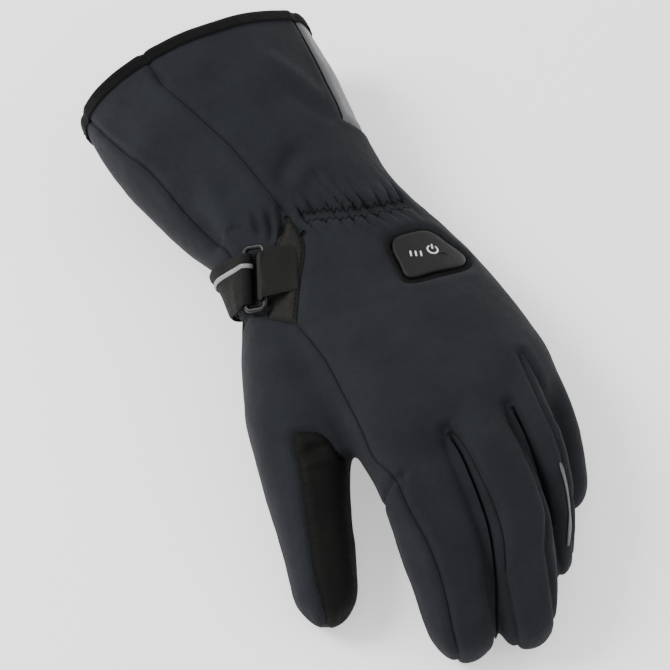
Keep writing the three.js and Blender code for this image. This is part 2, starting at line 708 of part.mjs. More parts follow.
// Binding tape folded over the rim.
const bindingFrom = -(seamGap + bindingThick) / gloveLength;
const bindingTo = bindingDepth / gloveLength;
const bindingStep = 1;
const bindingOuter = bodyForm(seamGap + bindingThick, bindingFrom, bindingTo, bindingStep);
const bindingInner = bodyForm(-wall - seamGap - bindingThick, -lipShare, bindingTo + lipShare,
  bindingStep, coarse.bodySides);
const bindingSlot = bodyForm(seamGap, -seamGap / gloveLength, bindingTo + lipShare, bindingStep)
  .subtract(bodyForm(-wall - seamGap, -lipShare, bindingTo + 2 * lipShare, bindingStep,
    coarse.bodySides));
const binding = bindingOuter.subtract(bindingInner).subtract(bindingSlot)
  .subtract(belowFloor(0));

// Place on the glove near a point: same turn round the section, moved out by an offset.
function lay(point, offset) {
  const place = section(-point.y / gloveLength);
  const x = point.x - place.x;
  const z = point.z - place.z;
  const turn = THREE.MathUtils.radToDeg(Math.atan2(z, x) - place.lean);
  return onSection(place, turn, offset);
}

// Middle of the strap with the directions along it, across it and out of the glove.
function strapFrame(turn) {
  const rows = strapTable.map((row) => ({ turn: -row.turn, along: row.along }));
  const at = (angle) => {
    const place = section(column(rows, 'along', -angle, 'turn'));
    return onSection(place, angle, 0);
  };
  const middle = at(turn);
  const ahead = at(turn - 1).sub(at(turn + 1)).normalize();
  const place = section(-middle.y / gloveLength);
  const out = middle.clone().sub(new THREE.Vector3(place.x, place.y, place.z)).normalize();
  const across = out.clone().cross(ahead).normalize();
  return { middle, ahead, across, out: ahead.clone().cross(across).normalize() };
}

// Turn at a distance along the strap from another turn.
function turnAfter(turn, distance) {
  let at = turn;
  let left = distance;
  const step = Math.sign(distance) * -0.5;
  while (Math.abs(left) > 0.05 && Math.abs(at - turn) < 90) {
    const run = strapFrame(at + step).middle.distanceTo(strapFrame(at).middle);
    left -= Math.sign(distance) * Math.min(run, Math.abs(left));
    at += step;
  }
  return at;
}

// Heights of strap, ring and keeper over the glove, each to the middle of its thickness.
const lowHeight = pieceGap + strapThick / 2;
const barHeight = pieceGap + strapThick + pieceGap + wireRadius;
const restHeight = lowHeight + strapThick + pieceGap;
const wrapRadius = wireRadius + pieceGap + strapThick / 2;
const partDown = 0.4; // share of slopeLength where a sloping layer has a station

// The bars of the ring are straight, so each one is raised until it clears the glove all along.
const barReach = strapWidth / 2 + ringPlay + 2 * wireRadius;
function barOver(frame, across) {
  const middle = lay(frame.middle, barHeight);
  const lift = Math.max(...[-1, -0.5, 0, 0.5, 1].map((share) => {
    const place = middle.clone().addScaledVector(across, share * barReach);
    return lay(place, barHeight).sub(place).dot(frame.out);
  }));
  return middle.addScaledVector(frame.out, lift);
}
const barFrame = strapFrame(ringTurn);
const ends = [1, -1].map((side) => lay(
  barFrame.middle.clone().addScaledVector(barFrame.across, side * barReach), barHeight));
const ringAcross = ends[0].sub(ends[1]).normalize();
const barMiddle = barOver(barFrame, ringAcross);
const ringAlong = barOver(strapFrame(turnAfter(ringTurn, ringSpan)), ringAcross).sub(barMiddle);
ringAlong.addScaledVector(ringAcross, -ringAlong.dot(ringAcross)).normalize();
const secondMiddle = barMiddle.clone().addScaledVector(ringAlong, ringSpan);
const ringOut = ringAlong.clone().cross(ringAcross).normalize();

// Stations of webbing: laid on the glove, or turned round a bar of the ring.
const laid = (frame, height, face = 1) => (across, level) => lay(
  frame.middle.clone().addScaledVector(frame.across, across), height + face * level);
const turned = (centre, angle, ahead, radius = wrapRadius) => (across, level) => {
  const reach = radius - level;
  return centre.clone()
    .addScaledVector(ringAcross, across)
    .addScaledVector(ringAlong, ahead * reach * Math.cos(angle))
    .addScaledVector(ringOut, reach * Math.sin(angle));
};

// Webbing of even thickness through its stations, with four points across its width.
function webbing(stations, width, thick, shift = 0) {
  const shares = [-1 / 2, -1 / 6, 1 / 6, 1 / 2];
  const rings = stations.map((station) => {
    const line = (level) => shares.map((share) => station(share * width + shift, level));
    return [...line(thick / 2), ...line(-thick / 2).reverse()];
  });
  const geometry = skin(rings);
  const solid = solidOf(geometry);
  if (solid.volume() > 0) return solid;
  return solidOf(skin(rings.reverse()));
}

const turns = (from, to, count) => Array.from(
  { length: count + 1 }, (_, i) => from + ((to - from) * i) / count);
const wrapAngles = turns(-Math.PI / 2, Math.PI / 2, 4);
const slopeTurn = turnAfter(ringTurn, -slopeLength);
const partTurn = turnAfter(ringTurn, -partDown * slopeLength);
const topOf = (middle, frame) => (
  middle.clone().sub(lay(frame.middle, 0)).dot(frame.out) + wrapRadius);
const partWay = (top) => restHeight + (1 - partDown) * (top - restHeight);
const strapTop = topOf(barMiddle, barFrame);
const strapPath = [
  ...turns(strapStart, slopeTurn, strapSteps).map((turn) => laid(strapFrame(turn), lowHeight)),
  laid(strapFrame(partTurn), lowHeight),
  ...wrapAngles.map((angle) => turned(barMiddle, angle, 1)),
];
const tailPath = [
  laid(strapFrame(partTurn), partWay(strapTop), -1),
  ...turns(slopeTurn, tailTurn, 6).map((turn) => laid(strapFrame(turn), restHeight, -1)),
];
const clearOfGlove = outside(seamGap);
const strap = webbing([...strapPath, ...tailPath], strapWidth, strapThick)
  .subtract(clearOfGlove);

// Piping on the outer face of the strap's tail.
const stripeLift = strapThick / 2 + seamGap + stripeThick / 2;
const lifted = (station) => (across, level) => station(across, level - stripeLift);
const stripe = webbing(
  [...wrapAngles.slice(2).map((angle) => turned(barMiddle, angle, 1)), ...tailPath].map(lifted),
  stripeWidth, stripeThick, stripePlace * strapWidth);

// Rectangular ring of wire with rounded corners.
function wireRing() {
  const reach = strapWidth / 2 + ringPlay + wireRadius;
  const centre = barMiddle.clone().add(secondMiddle).multiplyScalar(0.5);
  const half = ringSpan / 2;
  const rings = [];
  const corners = [[1, 1], [-1, 1], [-1, -1], [1, -1]];
  corners.forEach(([along, across], i) => {
    for (const angle of turns(i * 90, i * 90 + 90, 3)) {
      const turn = THREE.MathUtils.degToRad(angle);
      const radial = ringAlong.clone().multiplyScalar(Math.cos(turn))
        .addScaledVector(ringAcross, Math.sin(turn));
      const middle = centre.clone()
        .addScaledVector(ringAlong, along * (half - cornerRadius))
        .addScaledVector(ringAcross, across * (reach - cornerRadius))
        .addScaledVector(radial, cornerRadius);
      const ring = [];
      for (let j = 0; j < wireSides; j += 1) {
        const around = (2 * Math.PI * j) / wireSides;
        ring.push(middle.clone()
          .addScaledVector(radial, wireRadius * Math.cos(around))
          .addScaledVector(ringOut, wireRadius * Math.sin(around)));
      }
      rings.push(ring);
    }
  });
  const solid = solidOf(skin(rings, true));
  return solid.volume() > 0 ? solid : solidOf(skin(rings.reverse(), true));
}
const ring = wireRing();

// Short loop of webbing that ties the ring's second bar to the patch.
const keeperFrame = (distance) => strapFrame(turnAfter(ringTurn, ringSpan + distance));
const keeperTop = topOf(secondMiddle, keeperFrame(0));
const keeper = webbing([
  laid(keeperFrame(keeperLength), lowHeight),
  laid(keeperFrame((1 - partDown) * keeperLength), lowHeight),
  ...wrapAngles.map((angle) => turned(secondMiddle, angle, -1)),
  laid(keeperFrame((1 - partDown) * keeperLength), partWay(keeperTop), -1),
  laid(keeperFrame(keeperLength), restHeight, -1),
], keeperWidth, strapThick).subtract(clearOfGlove);

const cloth = { color: 0x2c2e32, roughness: 0.86, metalness: 0 };
const leather = { color: 0x1a1917, roughness: 0.62, metalness: 0 };
const reflector = { color: 0x66696c, roughness: 0.45, metalness: 0 };
const pieces = {
  back_panel: [backPanel, cloth],
  gauntlet_gusset: [cutUpper.intersect(gussetArea), cloth],
  gauntlet_under_panel: [lowerShell.intersect(wristArea), cloth],
  gauntlet_reflective_panel: [cutUpper.intersect(reflectiveArea), reflector],
  wrist_patch: [cutUpper.intersect(patchArea), { color: 0x222220, roughness: 0.7, metalness: 0 }],
  thumb_side_panel: [
    cutUpper.intersect(thumbSideArea).subtract(leatherArea), cloth],
  thumb_leather_panel: [cutUpper.intersect(leatherArea), leather],
  index_side_panel: [cutUpper.intersect(indexSideArea), cloth],
  palm_panel: [lowerShell.intersect(handArea), leather],
  fourchette_index_middle: [stripForms.fourchette_index_middle, cloth],
  fourchette_middle_ring: [stripForms.fourchette_middle_ring, cloth],
  fourchette_ring_little: [stripForms.fourchette_ring_little, cloth],
  cuff_binding: [binding, { color: 0x242424, roughness: 0.9, metalness: 0 }],
  button_border: [buttonBorder, { color: 0x161617, roughness: 0.75, metalness: 0 }],
  button_pad: [buttonPad, { color: 0x2e2e2d, roughness: 0.55, metalness: 0 }],
  wrist_strap: [strap, { color: 0x222220, roughness: 0.8, metalness: 0 }],
  strap_piping: [stripe, { color: 0xb4b6b6, roughness: 0.4, metalness: 0 }],
  strap_ring: [ring, { color: 0x30302f, roughness: 0.35, metalness: 0 }],
  ring_keeper: [keeper, { color: 0x222220, roughness: 0.8, metalness: 0 }],
};

const group = new THREE.Group();
const box = new THREE.Box3();
const meshes = Object.entries(pieces).map(([name, [solid, finish]]) => {
  const geometry = geometryOf(solid);
  geometry.computeBoundingBox();
  box.union(geometry.boundingBox);
  const mesh = new THREE.Mesh(geometry, new THREE.MeshStandardMaterial(finish));
  mesh.name = name;
  return mesh;
});

// The origin lies in the middle of the glove's outline on the table.
const origin = box.getCenter(new THREE.Vector3()).setZ(box.min.z);
for (const mesh of meshes) {
  mesh.geometry.translate(-origin.x, -origin.y, -origin.z);
  group.add(mesh);
}

export default group;
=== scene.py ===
"""Visual model of a padded left-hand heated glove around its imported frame.

Lengths are in millimetres in the glove's drawing frame until a mesh is made, and metres in the
part's frame from there. The drawing frame has +Y toward the cuff, +Z up and -X toward the thumb.
"""

import json
import math

import bmesh
import bpy
import numpy as np
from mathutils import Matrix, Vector, noise
from mathutils.bvhtree import BVHTree
from mathutils.kdtree import KDTree

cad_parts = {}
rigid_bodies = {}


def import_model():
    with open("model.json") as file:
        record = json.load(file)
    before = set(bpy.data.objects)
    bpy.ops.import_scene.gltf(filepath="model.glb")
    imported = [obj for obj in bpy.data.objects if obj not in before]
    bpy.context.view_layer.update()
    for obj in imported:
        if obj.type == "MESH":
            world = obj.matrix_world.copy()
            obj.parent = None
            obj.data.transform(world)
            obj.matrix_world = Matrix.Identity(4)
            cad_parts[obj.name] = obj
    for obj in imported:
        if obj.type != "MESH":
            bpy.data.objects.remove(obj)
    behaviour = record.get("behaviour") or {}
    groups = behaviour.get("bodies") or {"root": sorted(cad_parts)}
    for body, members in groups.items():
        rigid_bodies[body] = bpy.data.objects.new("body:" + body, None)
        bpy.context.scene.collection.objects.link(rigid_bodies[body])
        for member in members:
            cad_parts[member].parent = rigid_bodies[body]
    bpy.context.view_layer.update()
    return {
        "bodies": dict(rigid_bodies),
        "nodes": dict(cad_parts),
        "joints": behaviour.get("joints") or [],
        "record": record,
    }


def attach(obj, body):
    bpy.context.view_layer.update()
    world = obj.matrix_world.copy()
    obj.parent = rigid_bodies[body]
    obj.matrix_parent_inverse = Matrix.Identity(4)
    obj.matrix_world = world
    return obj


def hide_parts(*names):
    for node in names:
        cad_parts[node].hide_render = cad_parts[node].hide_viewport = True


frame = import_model()

# Drawing frame to part frame, in millimetres.
SHIFT = np.array([-1.705, 9.316, 0.0])
MM = 0.001

# Sizes.
VOXEL = 1.3
WALL = 3.0
STRIP_WALL = 1.2
RIM_Y = 160.0
STRAP_WIDTH = 25.0
STRAP_THICK = 1.8
STRIPE_WIDTH = 2.2
STRIPE_THICK = 0.7
WIRE_RADIUS = 1.3
RING_SPAN = 10.5
RING_PLAY = 1.6
CORNER_RADIUS = 2.6
KEEPER_LENGTH = 10.0
KEEPER_WIDTH = 23.0
PIECE_GAP = 0.5
SIDE_SEAM = -0.28
SEAM_DEPTH = 1.2
SEAM_SPREAD = 1.3
SNAP = 0.22
SLIT_HALF = 1.0
FAR = 140.0

# Trunk: y, left, right, base, top, exponent of the oval, lean in degrees.
TRUNK = np.array([
    [178, -53, 79, 4, 84, 2.1, -9],
    [160, -51.1, 76.6, 1.6, 81.2, 2.1, -9],
    [145, -52.4, 76.3, 0, 80.4, 2.1, -9],
    [125, -51, 75, -2, 78, 2.1, -8],
    [100, -45, 71, -2, 72, 2.1, -6],
    [80, -39, 69, 0, 68, 2.1, -4],
    [62, -33, 68, 6, 65, 2.2, -3],
    [50, -32, 70, 9, 63, 2.2, -3],
    [36, -34, 74, 8.5, 62, 2.3, -3],
    [20, -36, 79, 3, 62, 2.3, -4],
    [0, -36, 83, -2, 63, 2.3, -6],
    [-20, -33, 85, -2, 65, 2.3, -8],
    [-40, -29, 86, 2, 66, 2.3, -9],
    [-60, -27, 84, 10, 67.3, 2.4, -10],
    [-74, -24, 80, 20, 66, 2.4, -11],
    [-84, -16, 71, 30, 61, 2.3, -11],
], dtype=float)

# Thumb and fingers: x, y, z of the middle line, half width, half depth.
DIGITS = {
    "thumb": [[-8, 34, 33, 18, 20], [-19, 12, 32, 22, 23], [-29, -12, 31, 25, 24],
              [-38, -34, 29, 25, 23], [-47, -54, 26, 21.5, 21], [-55, -74, 22.5, 18.5, 19],
              [-61.5, -93, 18.5, 16.6, 16.5], [-68, -109.5, 14.2, 14.8, 14.5],
              [-73.5, -122, 10.2, 10.8, 11]],
    "index": [[0, -45, 42, 15, 15], [-8, -66, 44, 17, 17], [-9.3, -86, 46, 18, 17.5],
              [-11.2, -104, 43.5, 18.4, 17], [-14.2, -121, 38, 18.5, 16.5],
              [-17, -137, 30.5, 18.1, 16], [-20.6, -152, 19.5, 17, 15.5],
              [-25, -168, 7.5, 12.5, 12]],
    "middle": [[26, -45, 44, 13, 14], [26, -68, 48, 15, 16], [25.2, -86, 49, 15.6, 17],
               [23.8, -107, 47.5, 16, 17], [21.5, -126, 43, 16.2, 16.2],
               [16.8, -144, 35, 15.4, 15.6], [9, -161, 21.5, 14, 14.8],
               [1.5, -176, 7.5, 12, 11.5]],
    "ring": [[54, -45, 41, 12, 14], [54.5, -68, 44, 12.5, 15], [53, -86, 44.5, 11.7, 15.5],
             [51.2, -104, 41, 10.4, 15], [47.9, -120, 34.5, 9.1, 13.8],
             [43.2, -133, 25.5, 8.4, 12.8], [36.9, -143, 16, 8.5, 12], [29.4, -151, 8, 9, 11]],
    "little": [[71, -50, 31, 11, 13], [71.5, -68, 31, 11, 14], [70, -84, 27.8, 10.4, 13.6],
               [67, -98, 22.3, 10, 13.2], [62.8, -109, 16.6, 10.2, 12.6],
               [59, -117.5, 12.3, 10, 11.6], [55, -124.5, 8.5, 9.4, 10.6]],
}
TIP_LENGTH = 16.0

# Cloth that bridges two fingers: y at its start and end, height as a share of the fingers' depth.
WEBS = {
    "index middle": (-60, -160, 0.8),
    "middle ring": (-58, -140, 0.8),
    "ring little": (-54, -116, 0.9),
}

# Narrow gaps between the fingers: plan points, depth and the share of it lost past the middle.
SLITS = {
    "index middle": ([(11.4, -86), (12, -92), (11.2, -102), (8.6, -119), (5.2, -134), (-0.6, -149),
                      (-8.5, -163), (-15, -178)], 8.0, 0.3),
    "middle ring": ([(45.5, -87), (45.4, -94), (44, -106), (41.3, -120), (37.8, -134),
                     (33.3, -144), (28, -153)], 7.0, 0.8),
}
DIGIT_SQUARE = 2.5

# Seams seen from above, as points (x, y).
SEAMS = {
    "back_gusset": [(-15.5, 172), (-14.7, 140.6), (-11.3, 128.7), (-7, 115.7), (-1.3, 99.2),
                    (2.5, 76.7), (4.6, 62), (5.5, 55)],
    "back_patch": [(5.5, 55), (6, 42.9), (3.5, 34.8), (-7.3, 20.7), (-19.3, 3.4)],
    "back_thumb": [(-19.3, 3.4), (-18, -14), (-18, -26), (-19.7, -44), (-21.7, -62),
                   (-23.4, -77), (-22, -87), (-21, -92.4)],
    "back_index": [(-21, -92.4), (-22.9, -106.5), (-23.2, -124), (-24.5, -137), (-27, -149),
                   (-30, -160), (-31, -167), (-33, -192)],
    "gusset_under": [(-51, 172), (-48.6, 144.7), (-44.7, 127.1), (-39.9, 113.3), (-35.5, 93.6),
                     (-32, 80.9), (-28.8, 68.9), (-26.4, 55.6), (-29, 40), (-33.7, 24.6)],
    "patch_left": [(5.5, 55), (-6.5, 45.2), (-13.2, 37.3), (-20.9, 26.7), (-28.4, 14.4)],
    "patch_end": [(-28.4, 14.4), (-19.3, 3.4)],
    "wrist_thumb": [(-28.4, 14.4), (-33.7, 24.6), (-60, 29)],
    "leather": [(-26, -68), (-32, -60), (-34, -53), (-37, -48), (-42, -45), (-46, -43.5),
                (-49.6, -47), (-53.4, -58), (-59.5, -74), (-65.8, -90), (-70.5, -102),
                (-73.7, -115.7), (-78, -140)],
    "cleft": [(-21, -92.4), (-38, -95)],
    "reflective": [(67, 172), (66.4, 150), (65.2, 139), (63, 118), (61.5, 104), (59.6, 95.4)],
    "reflective_end": [(59.6, 95.4), (66, 92.6), (90, 86)],
}

# Strips between the fingers: y, share of the left finger's half width, share of the right one's.
STRIPS = {
    "index middle": [(-82.5, 1.04, -0.8), (-90.3, 0.93, -0.68), (-108.8, 0.9, -0.64),
                     (-135.7, 0.9, -0.62), (-155.8, 0.8, -0.72), (-196.2, 0.75, -0.8)],
    "middle ring": [(-83.5, 1.12, -0.6), (-90.3, 1.02, -0.56), (-108.8, 0.9, -0.7),
                    (-135.7, 0.88, -0.5), (-145.1, 0.78, -0.1), (-152.5, 0.7, 0.4),
                    (-196.2, 0.7, 0.8)],
    "ring little": [(-63.1, 0.7, -0.45), (-78.6, 0.55, -0.45), (-90.3, 0.5, -0.5),
                    (-108.8, 0.56, -0.45), (-125.6, 0.6, -0.3), (-162.6, 0.9, 0.6)],
}

BUTTON = [(40.2, 15.5), (43.6, 19.8), (51, 20.4), (63, 18.6), (68.2, 9.5), (72.5, -0.8), (67.5, -6),
          (52.3, -5.7), (38, -3.6), (38.6, 6)]

# Middle of the strap: turn round the wrist in degrees and y.
STRAP = np.array([
    [118, 24.3], [135, 28.3], [149, 32.7], [159, 36.7], [170, 41.4], [182, 45.8],
    [200, 48.8], [220, 50.5], [250, 51.8], [285, 52.5],
], dtype=float)
STRAP_START, TAIL_TURN, RING_TURN, SLOPE_LENGTH = 285.0, 214.0, 159.0, 13.0


# Numbers along a table.
def cubic(keys, values, at):
    """Smooth rows of values at places along ascending keys, held at both ends."""
    keys, values, at = (np.asarray(v, float) for v in (keys, values, at))
    n = len(keys)
    i = np.clip(np.searchsorted(keys, at) - 1, 0, n - 2)
    span = keys[i + 1] - keys[i]
    t = np.clip((at - keys[i]) / span, 0, 1)
    lo, hi = np.maximum(np.arange(n) - 1, 0), np.minimum(np.arange(n) + 1, n - 1)
    slope = (values[hi] - values[lo]) / (keys[hi] - keys[lo])[:, None]
    span, t = span[..., None], t[..., None]
    ease = t * t * (3 - 2 * t)
    return (values[i] + (values[i + 1] - values[i]) * ease
            + span * (t * (1 - t) ** 2 * slope[i] + t * t * (t - 1) * slope[i + 1]))


def smoothstep(value, low, high):
    t = np.clip((np.asarray(value, float) - low) / (high - low), 0, 1)
    return t * t * (3 - 2 * t)


def unit(vectors):
    return vectors / np.linalg.norm(vectors, axis=-1, keepdims=True)


def lengths(points):
    """Distance along a line of points up to each of them."""
    return np.concatenate([[0], np.cumsum(np.linalg.norm(np.diff(points, axis=0), axis=1))])


def smoothed(rows, rounds):
    """Rows evened out with their neighbours, the first and the last kept."""
    rows = rows.copy()
    for _ in range(rounds):
        rows[1:-1] = (rows[:-2] + 2 * rows[1:-1] + rows[2:]) / 4
    return rows


def section(y):
    """Middle, half sizes, exponent and lean of the trunk at y."""
    rows = TRUNK[::-1]
    left, right, base, top, square, lean = np.moveaxis(cubic(rows[:, 0], rows[:, 1:], y), -1, 0)
    return ((left + right) / 2, (base + top) / 2, (right - left) / 2, (top - base) / 2,
            square, np.radians(lean))


def on_section(y, turn, offset=0.0):
    """Point of the trunk's skin at y and a turn in degrees, moved out by an offset."""
    cx, cz, wide, high, square, lean = section(y)
    angle = np.radians(turn)
    c, s = np.cos(angle), np.sin(angle)
    reach = (np.abs(c / (wide + offset)) ** square
             + np.abs(s / (high + offset)) ** square) ** (-1 / square)
    x, z = reach * c, reach * s
    y = np.broadcast_to(y, np.shape(x))
    return np.stack([cx + x * np.cos(lean) - z * np.sin(lean), y,
                     cz + x * np.sin(lean) + z * np.cos(lean)], axis=-1)


def lane(name, y):
    """Middle x and z and half sizes of a finger at y."""
    rows = np.array(DIGITS[name], float)[::-1]
    return np.moveaxis(cubic(rows[:, 1], rows[:, [0, 2, 3, 4]], y), -1, 0)


# Meshes.
def tube(rings, looped=False):
    """Vertices and faces of a closed skin through rings of points."""
    rings = [np.asarray(r, float) for r in rings]
    n = len(rings[0])
    verts = np.concatenate(rings)
    faces = []
    for i in range(len(rings) if looped else len(rings) - 1):
        nxt = (i + 1) % len(rings)
        for j in range(n):
            k = (j + 1) % n
            faces.append((i * n + j, i * n + k, nxt * n + k, nxt * n + j))
    if not looped:
        faces.append(tuple(range(n))[::-1])
        faces.append(tuple(range((len(rings) - 1) * n, len(rings) * n)))
    return verts, faces


def joined(parts):
    verts, faces, start = [], [], 0
    for v, f in parts:
        verts.append(np.asarray(v, float))
        faces += [tuple(i + start for i in face) for face in f]
        start += len(v)
    return np.concatenate(verts), faces


def linked(name, data):
    """A new object in the scene."""
    obj = bpy.data.objects.new(name, data)
    bpy.context.scene.collection.objects.link(obj)
    return obj


def make_object(name, verts, faces):
    """A smooth object from drawing frame millimetres, flat where it meets the table."""
    verts = np.array(verts, float)
    verts[:, 2] = np.maximum(verts[:, 2], 0.0)
    mesh = bpy.data.meshes.new(name)
    mesh.from_pydata(((verts + SHIFT) * MM).tolist(), [], faces)
    mesh.validate()
    mesh.shade_smooth()
    return linked(name, mesh)


def outward(obj):
    """Turns the faces of a closed piece so that they point out."""
    bm = bmesh.new()
    bm.from_mesh(obj.data)
    bmesh.ops.recalc_face_normals(bm, faces=bm.faces)
    bm.to_mesh(obj.data)
    bm.free()


def applied(obj):
    """Applies the modifiers."""
    dg = bpy.context.evaluated_depsgraph_get()
    mesh = bpy.data.meshes.new_from_object(obj.evaluated_get(dg))
    obj.modifiers.clear()
    old = obj.data
    obj.data = mesh
    bpy.data.meshes.remove(old)


def arrays(obj):
    """Drawing frame vertices and triangles of an object's mesh."""
    mesh = obj.data
    verts = np.empty(len(mesh.vertices) * 3)
    mesh.vertices.foreach_get("co", verts)
    mesh.calc_loop_triangles()
    tris = np.empty(len(mesh.loop_triangles) * 3, dtype=np.int64)
    mesh.loop_triangles.foreach_get("vertices", tris)
    return verts.reshape(-1, 3) / MM - SHIFT, tris.reshape(-1, 3)


def vertex_normals(verts, tris):
    cross = np.cross(verts[tris[:, 1]] - verts[tris[:, 0]], verts[tris[:, 2]] - verts[tris[:, 0]])
    normal = np.zeros_like(verts)
    for k in range(3):
        np.add.at(normal, tris[:, k], cross)
    return normal / np.maximum(np.linalg.norm(normal, axis=1, keepdims=True), 1e-12)


def edges_of(tris):
    pairs = tris[:, [[0, 1], [1, 2], [2, 0]]].reshape(-1, 2)
    return np.unique(np.sort(pairs, axis=1), axis=0)


def relax(verts, tris, rounds, weight=1.0, back=0.0):
    """Moves each vertex toward the middle of its neighbours, and partly back again."""
    edges = edges_of(tris)
    count = np.zeros(len(verts))
    np.add.at(count, edges.ravel(), 1)
    weight = np.broadcast_to(weight, len(verts))[:, None]
    for _ in range(rounds):
        for factor in (0.5, -back) if back else (0.5,):
            total = np.zeros_like(verts)
            np.add.at(total, edges[:, 0], verts[edges[:, 1]])
            np.add.at(total, edges[:, 1], verts[edges[:, 0]])
            verts = verts + factor * weight * (total / count[:, None] - verts)
    return verts


def split(verts, tris, values, near=4.0):
    """Cuts the triangles where a value per vertex passes zero, away from far and blank values."""
    values = np.where(np.abs(values) > near, np.nan, values)
    verts = verts.copy()
    edges = edges_of(tris)

    def crossings():
        a, b = edges[values[edges[:, 0]] * values[edges[:, 1]] < 0].T
        t = values[a] / (values[a] - values[b])
        return a, b, t, verts[a] + t[:, None] * (verts[b] - verts[a])

    a, b, t, point = crossings()
    for index, close in ((a, t < SNAP), (b, t > 1 - SNAP)):
        verts[index[close]] = point[close]
        values[index[close]] = 0.0
    a, b, t, fresh = crossings()
    lookup = {pair: len(verts) + n for n, pair in enumerate(zip(a.tolist(), b.tolist()))}
    touched = np.zeros(len(verts), bool)
    touched[a] = touched[b] = True
    maybe = touched[tris].any(axis=1)
    new = []
    for tri in tris[maybe].tolist():
        mid = [lookup.get((min(p, q), max(p, q))) for p, q in zip(tri, tri[1:] + tri[:1])]
        hits = 3 - mid.count(None)
        if hits == 0:
            new.append(tri)
            continue
        k = next(i for i in range(3) if (mid[i] is None) == (hits == 2))
        p, q, r = tri[k:] + tri[:k]
        pq, qr, rp = mid[k:] + mid[:k]
        new += [[p, pq, r], [pq, q, r]] if hits == 1 else [[p, q, qr], [p, qr, rp], [qr, r, rp]]
    new = np.array(new, dtype=np.int64).reshape(-1, 3)
    return np.concatenate([verts, fresh]), np.concatenate([tris[~maybe], new])


# Plan curves.
def spline(points, step=1.0):
    """Dense smooth curve through points."""
    dist = lengths(points)
    return cubic(dist, points, np.linspace(0, dist[-1], max(int(dist[-1] / step), 2) + 1))


def nearest(points, line):
    """Distance of plan points from a line, their side of it and the place along it."""
    best = np.full(len(points), 1e9)
    side, place = np.ones(len(points)), np.zeros(len(points))
    for i in range(len(line) - 1):
        a, d = line[i], line[i + 1] - line[i]
        rel = points - a
        t = np.clip(rel @ d / (d @ d), 0, 1)
        off = rel - t[:, None] * d
        dist = np.hypot(off[:, 0], off[:, 1])
        closer = dist < best
        best[closer] = dist[closer]
        side[closer] = np.sign(d[0] * rel[closer, 1] - d[1] * rel[closer, 0])
        place[closer] = i + t[closer]
    return best, np.where(side == 0, 1, side), place


def near_line(points, line):
    """Distance of plan points from a line and the share of the way along it."""
    dist, _, place = nearest(points, line)
    return dist, place / (len(line) - 1)


def inside(points, outline):
    """Which plan points lie in an outline."""
    x, y = points[:, 0], points[:, 1]
    odd = np.zeros(len(points), bool)
    for a, b in zip(outline, np.roll(outline, -1, axis=0)):
        span = (a[1] > y) != (b[1] > y)
        if a[1] != b[1]:
            odd ^= span & (x < (b[0] - a[0]) * (y - a[1]) / (b[1] - a[1]) + a[0])
    return odd


CURVES = {name: spline(points) for name, points in SEAMS.items()}


def strip_edges(name):
    """Left and right edge of a strip between two fingers."""
    edges = [], []
    for y, *shares in STRIPS[name]:
        for finger, share, edge in zip(name.split(), shares, edges):
            x, _, wide, _ = lane(finger, y)
            edge.append((x + share * wide, y))
    return [spline(edge) for edge in edges]


STRIP_EDGES = {name: strip_edges(name) for name in STRIPS}


def around_button(grow):
    """Closed outline of the button, moved out by some millimetres."""
    points = np.array(BUTTON, float)
    points += grow * unit(points - points.mean(axis=0))
    closed = np.concatenate([points[-3:], points, points[:3]])
    dist = lengths(closed)
    at = np.linspace(dist[3], dist[3 + len(points)], 120, endpoint=False)
    smooth = cubic(dist, closed, at)
    for _ in range(6):
        smooth = (np.roll(smooth, 1, 0) + 2 * smooth + np.roll(smooth, -1, 0)) / 4
    return smooth


# The seam round the sides.
STEP_X, STEP_Y = 2.0, 3.0
GRID_X = np.arange(-130.0, 131.0, STEP_X)
GRID_Y = np.arange(-196.0, 181.0, STEP_Y)


def side_table():
    """Height of the side seam over a grid of plan points."""
    table = np.empty((len(GRID_Y), len(GRID_X)))
    for row, y in enumerate(GRID_Y):
        cx, cz, wide, high, _, lean = section(np.clip(y, -84, 160))
        cuff = float(smoothstep(y, 6, 32))

        def body(x):
            share = SIDE_SEAM + (cuff * 0.4 if x < cx - 0.3 * wide else 0)
            return cz + share * high + math.tan(lean) * (x - cx)

        knots = []
        for name in DIGITS:
            x, z, w, d = (float(v) for v in lane(name, y))
            weight = float(smoothstep(-y, -26, 8) if name == "thumb" else smoothstep(-y, 42, 82))
            for share in (-0.6, 0.6):
                at = x + share * w
                knots.append((at, body(at) * (1 - weight) + (z + SIDE_SEAM * d) * weight))
        xs = np.maximum.accumulate([k[0] for k in knots])
        zs = [k[1] for k in knots]
        if y > -42:
            xs = np.append(xs, cx + wide)
            zs = zs + [body(cx + wide)]
        table[row] = np.interp(GRID_X, xs + np.arange(len(xs)) * 1e-3, zs)
    return smoothed(table, 2)


SIDE = side_table()


def side_height(points):
    """Height of the side seam over plan points."""
    fx = np.clip((points[:, 0] - GRID_X[0]) / STEP_X, 0, len(GRID_X) - 1.001)
    fy = np.clip((points[:, 1] - GRID_Y[0]) / STEP_Y, 0, len(GRID_Y) - 1.001)
    i, j = fx.astype(int), fy.astype(int)
    u, v = fx - i, fy - j
    return ((SIDE[j, i] * (1 - u) + SIDE[j, i + 1] * u) * (1 - v)
            + (SIDE[j + 1, i] * (1 - u) + SIDE[j + 1, i + 1] * u) * v)


# Outer skin.
def trunk_rings():
    turns = np.arange(0, 360, 3.75)
    rings = [on_section(y, turns) for y in np.arange(177.0, -84.5, -3.0)]
    last = rings[-1]
    middle = last.mean(axis=0)
    for share, back in ((0.93, 2.0), (0.78, 3.6), (0.5, 4.6)):
        rings.append(middle + (last - middle) * share + np.array([0, -back, 0]))
    return rings


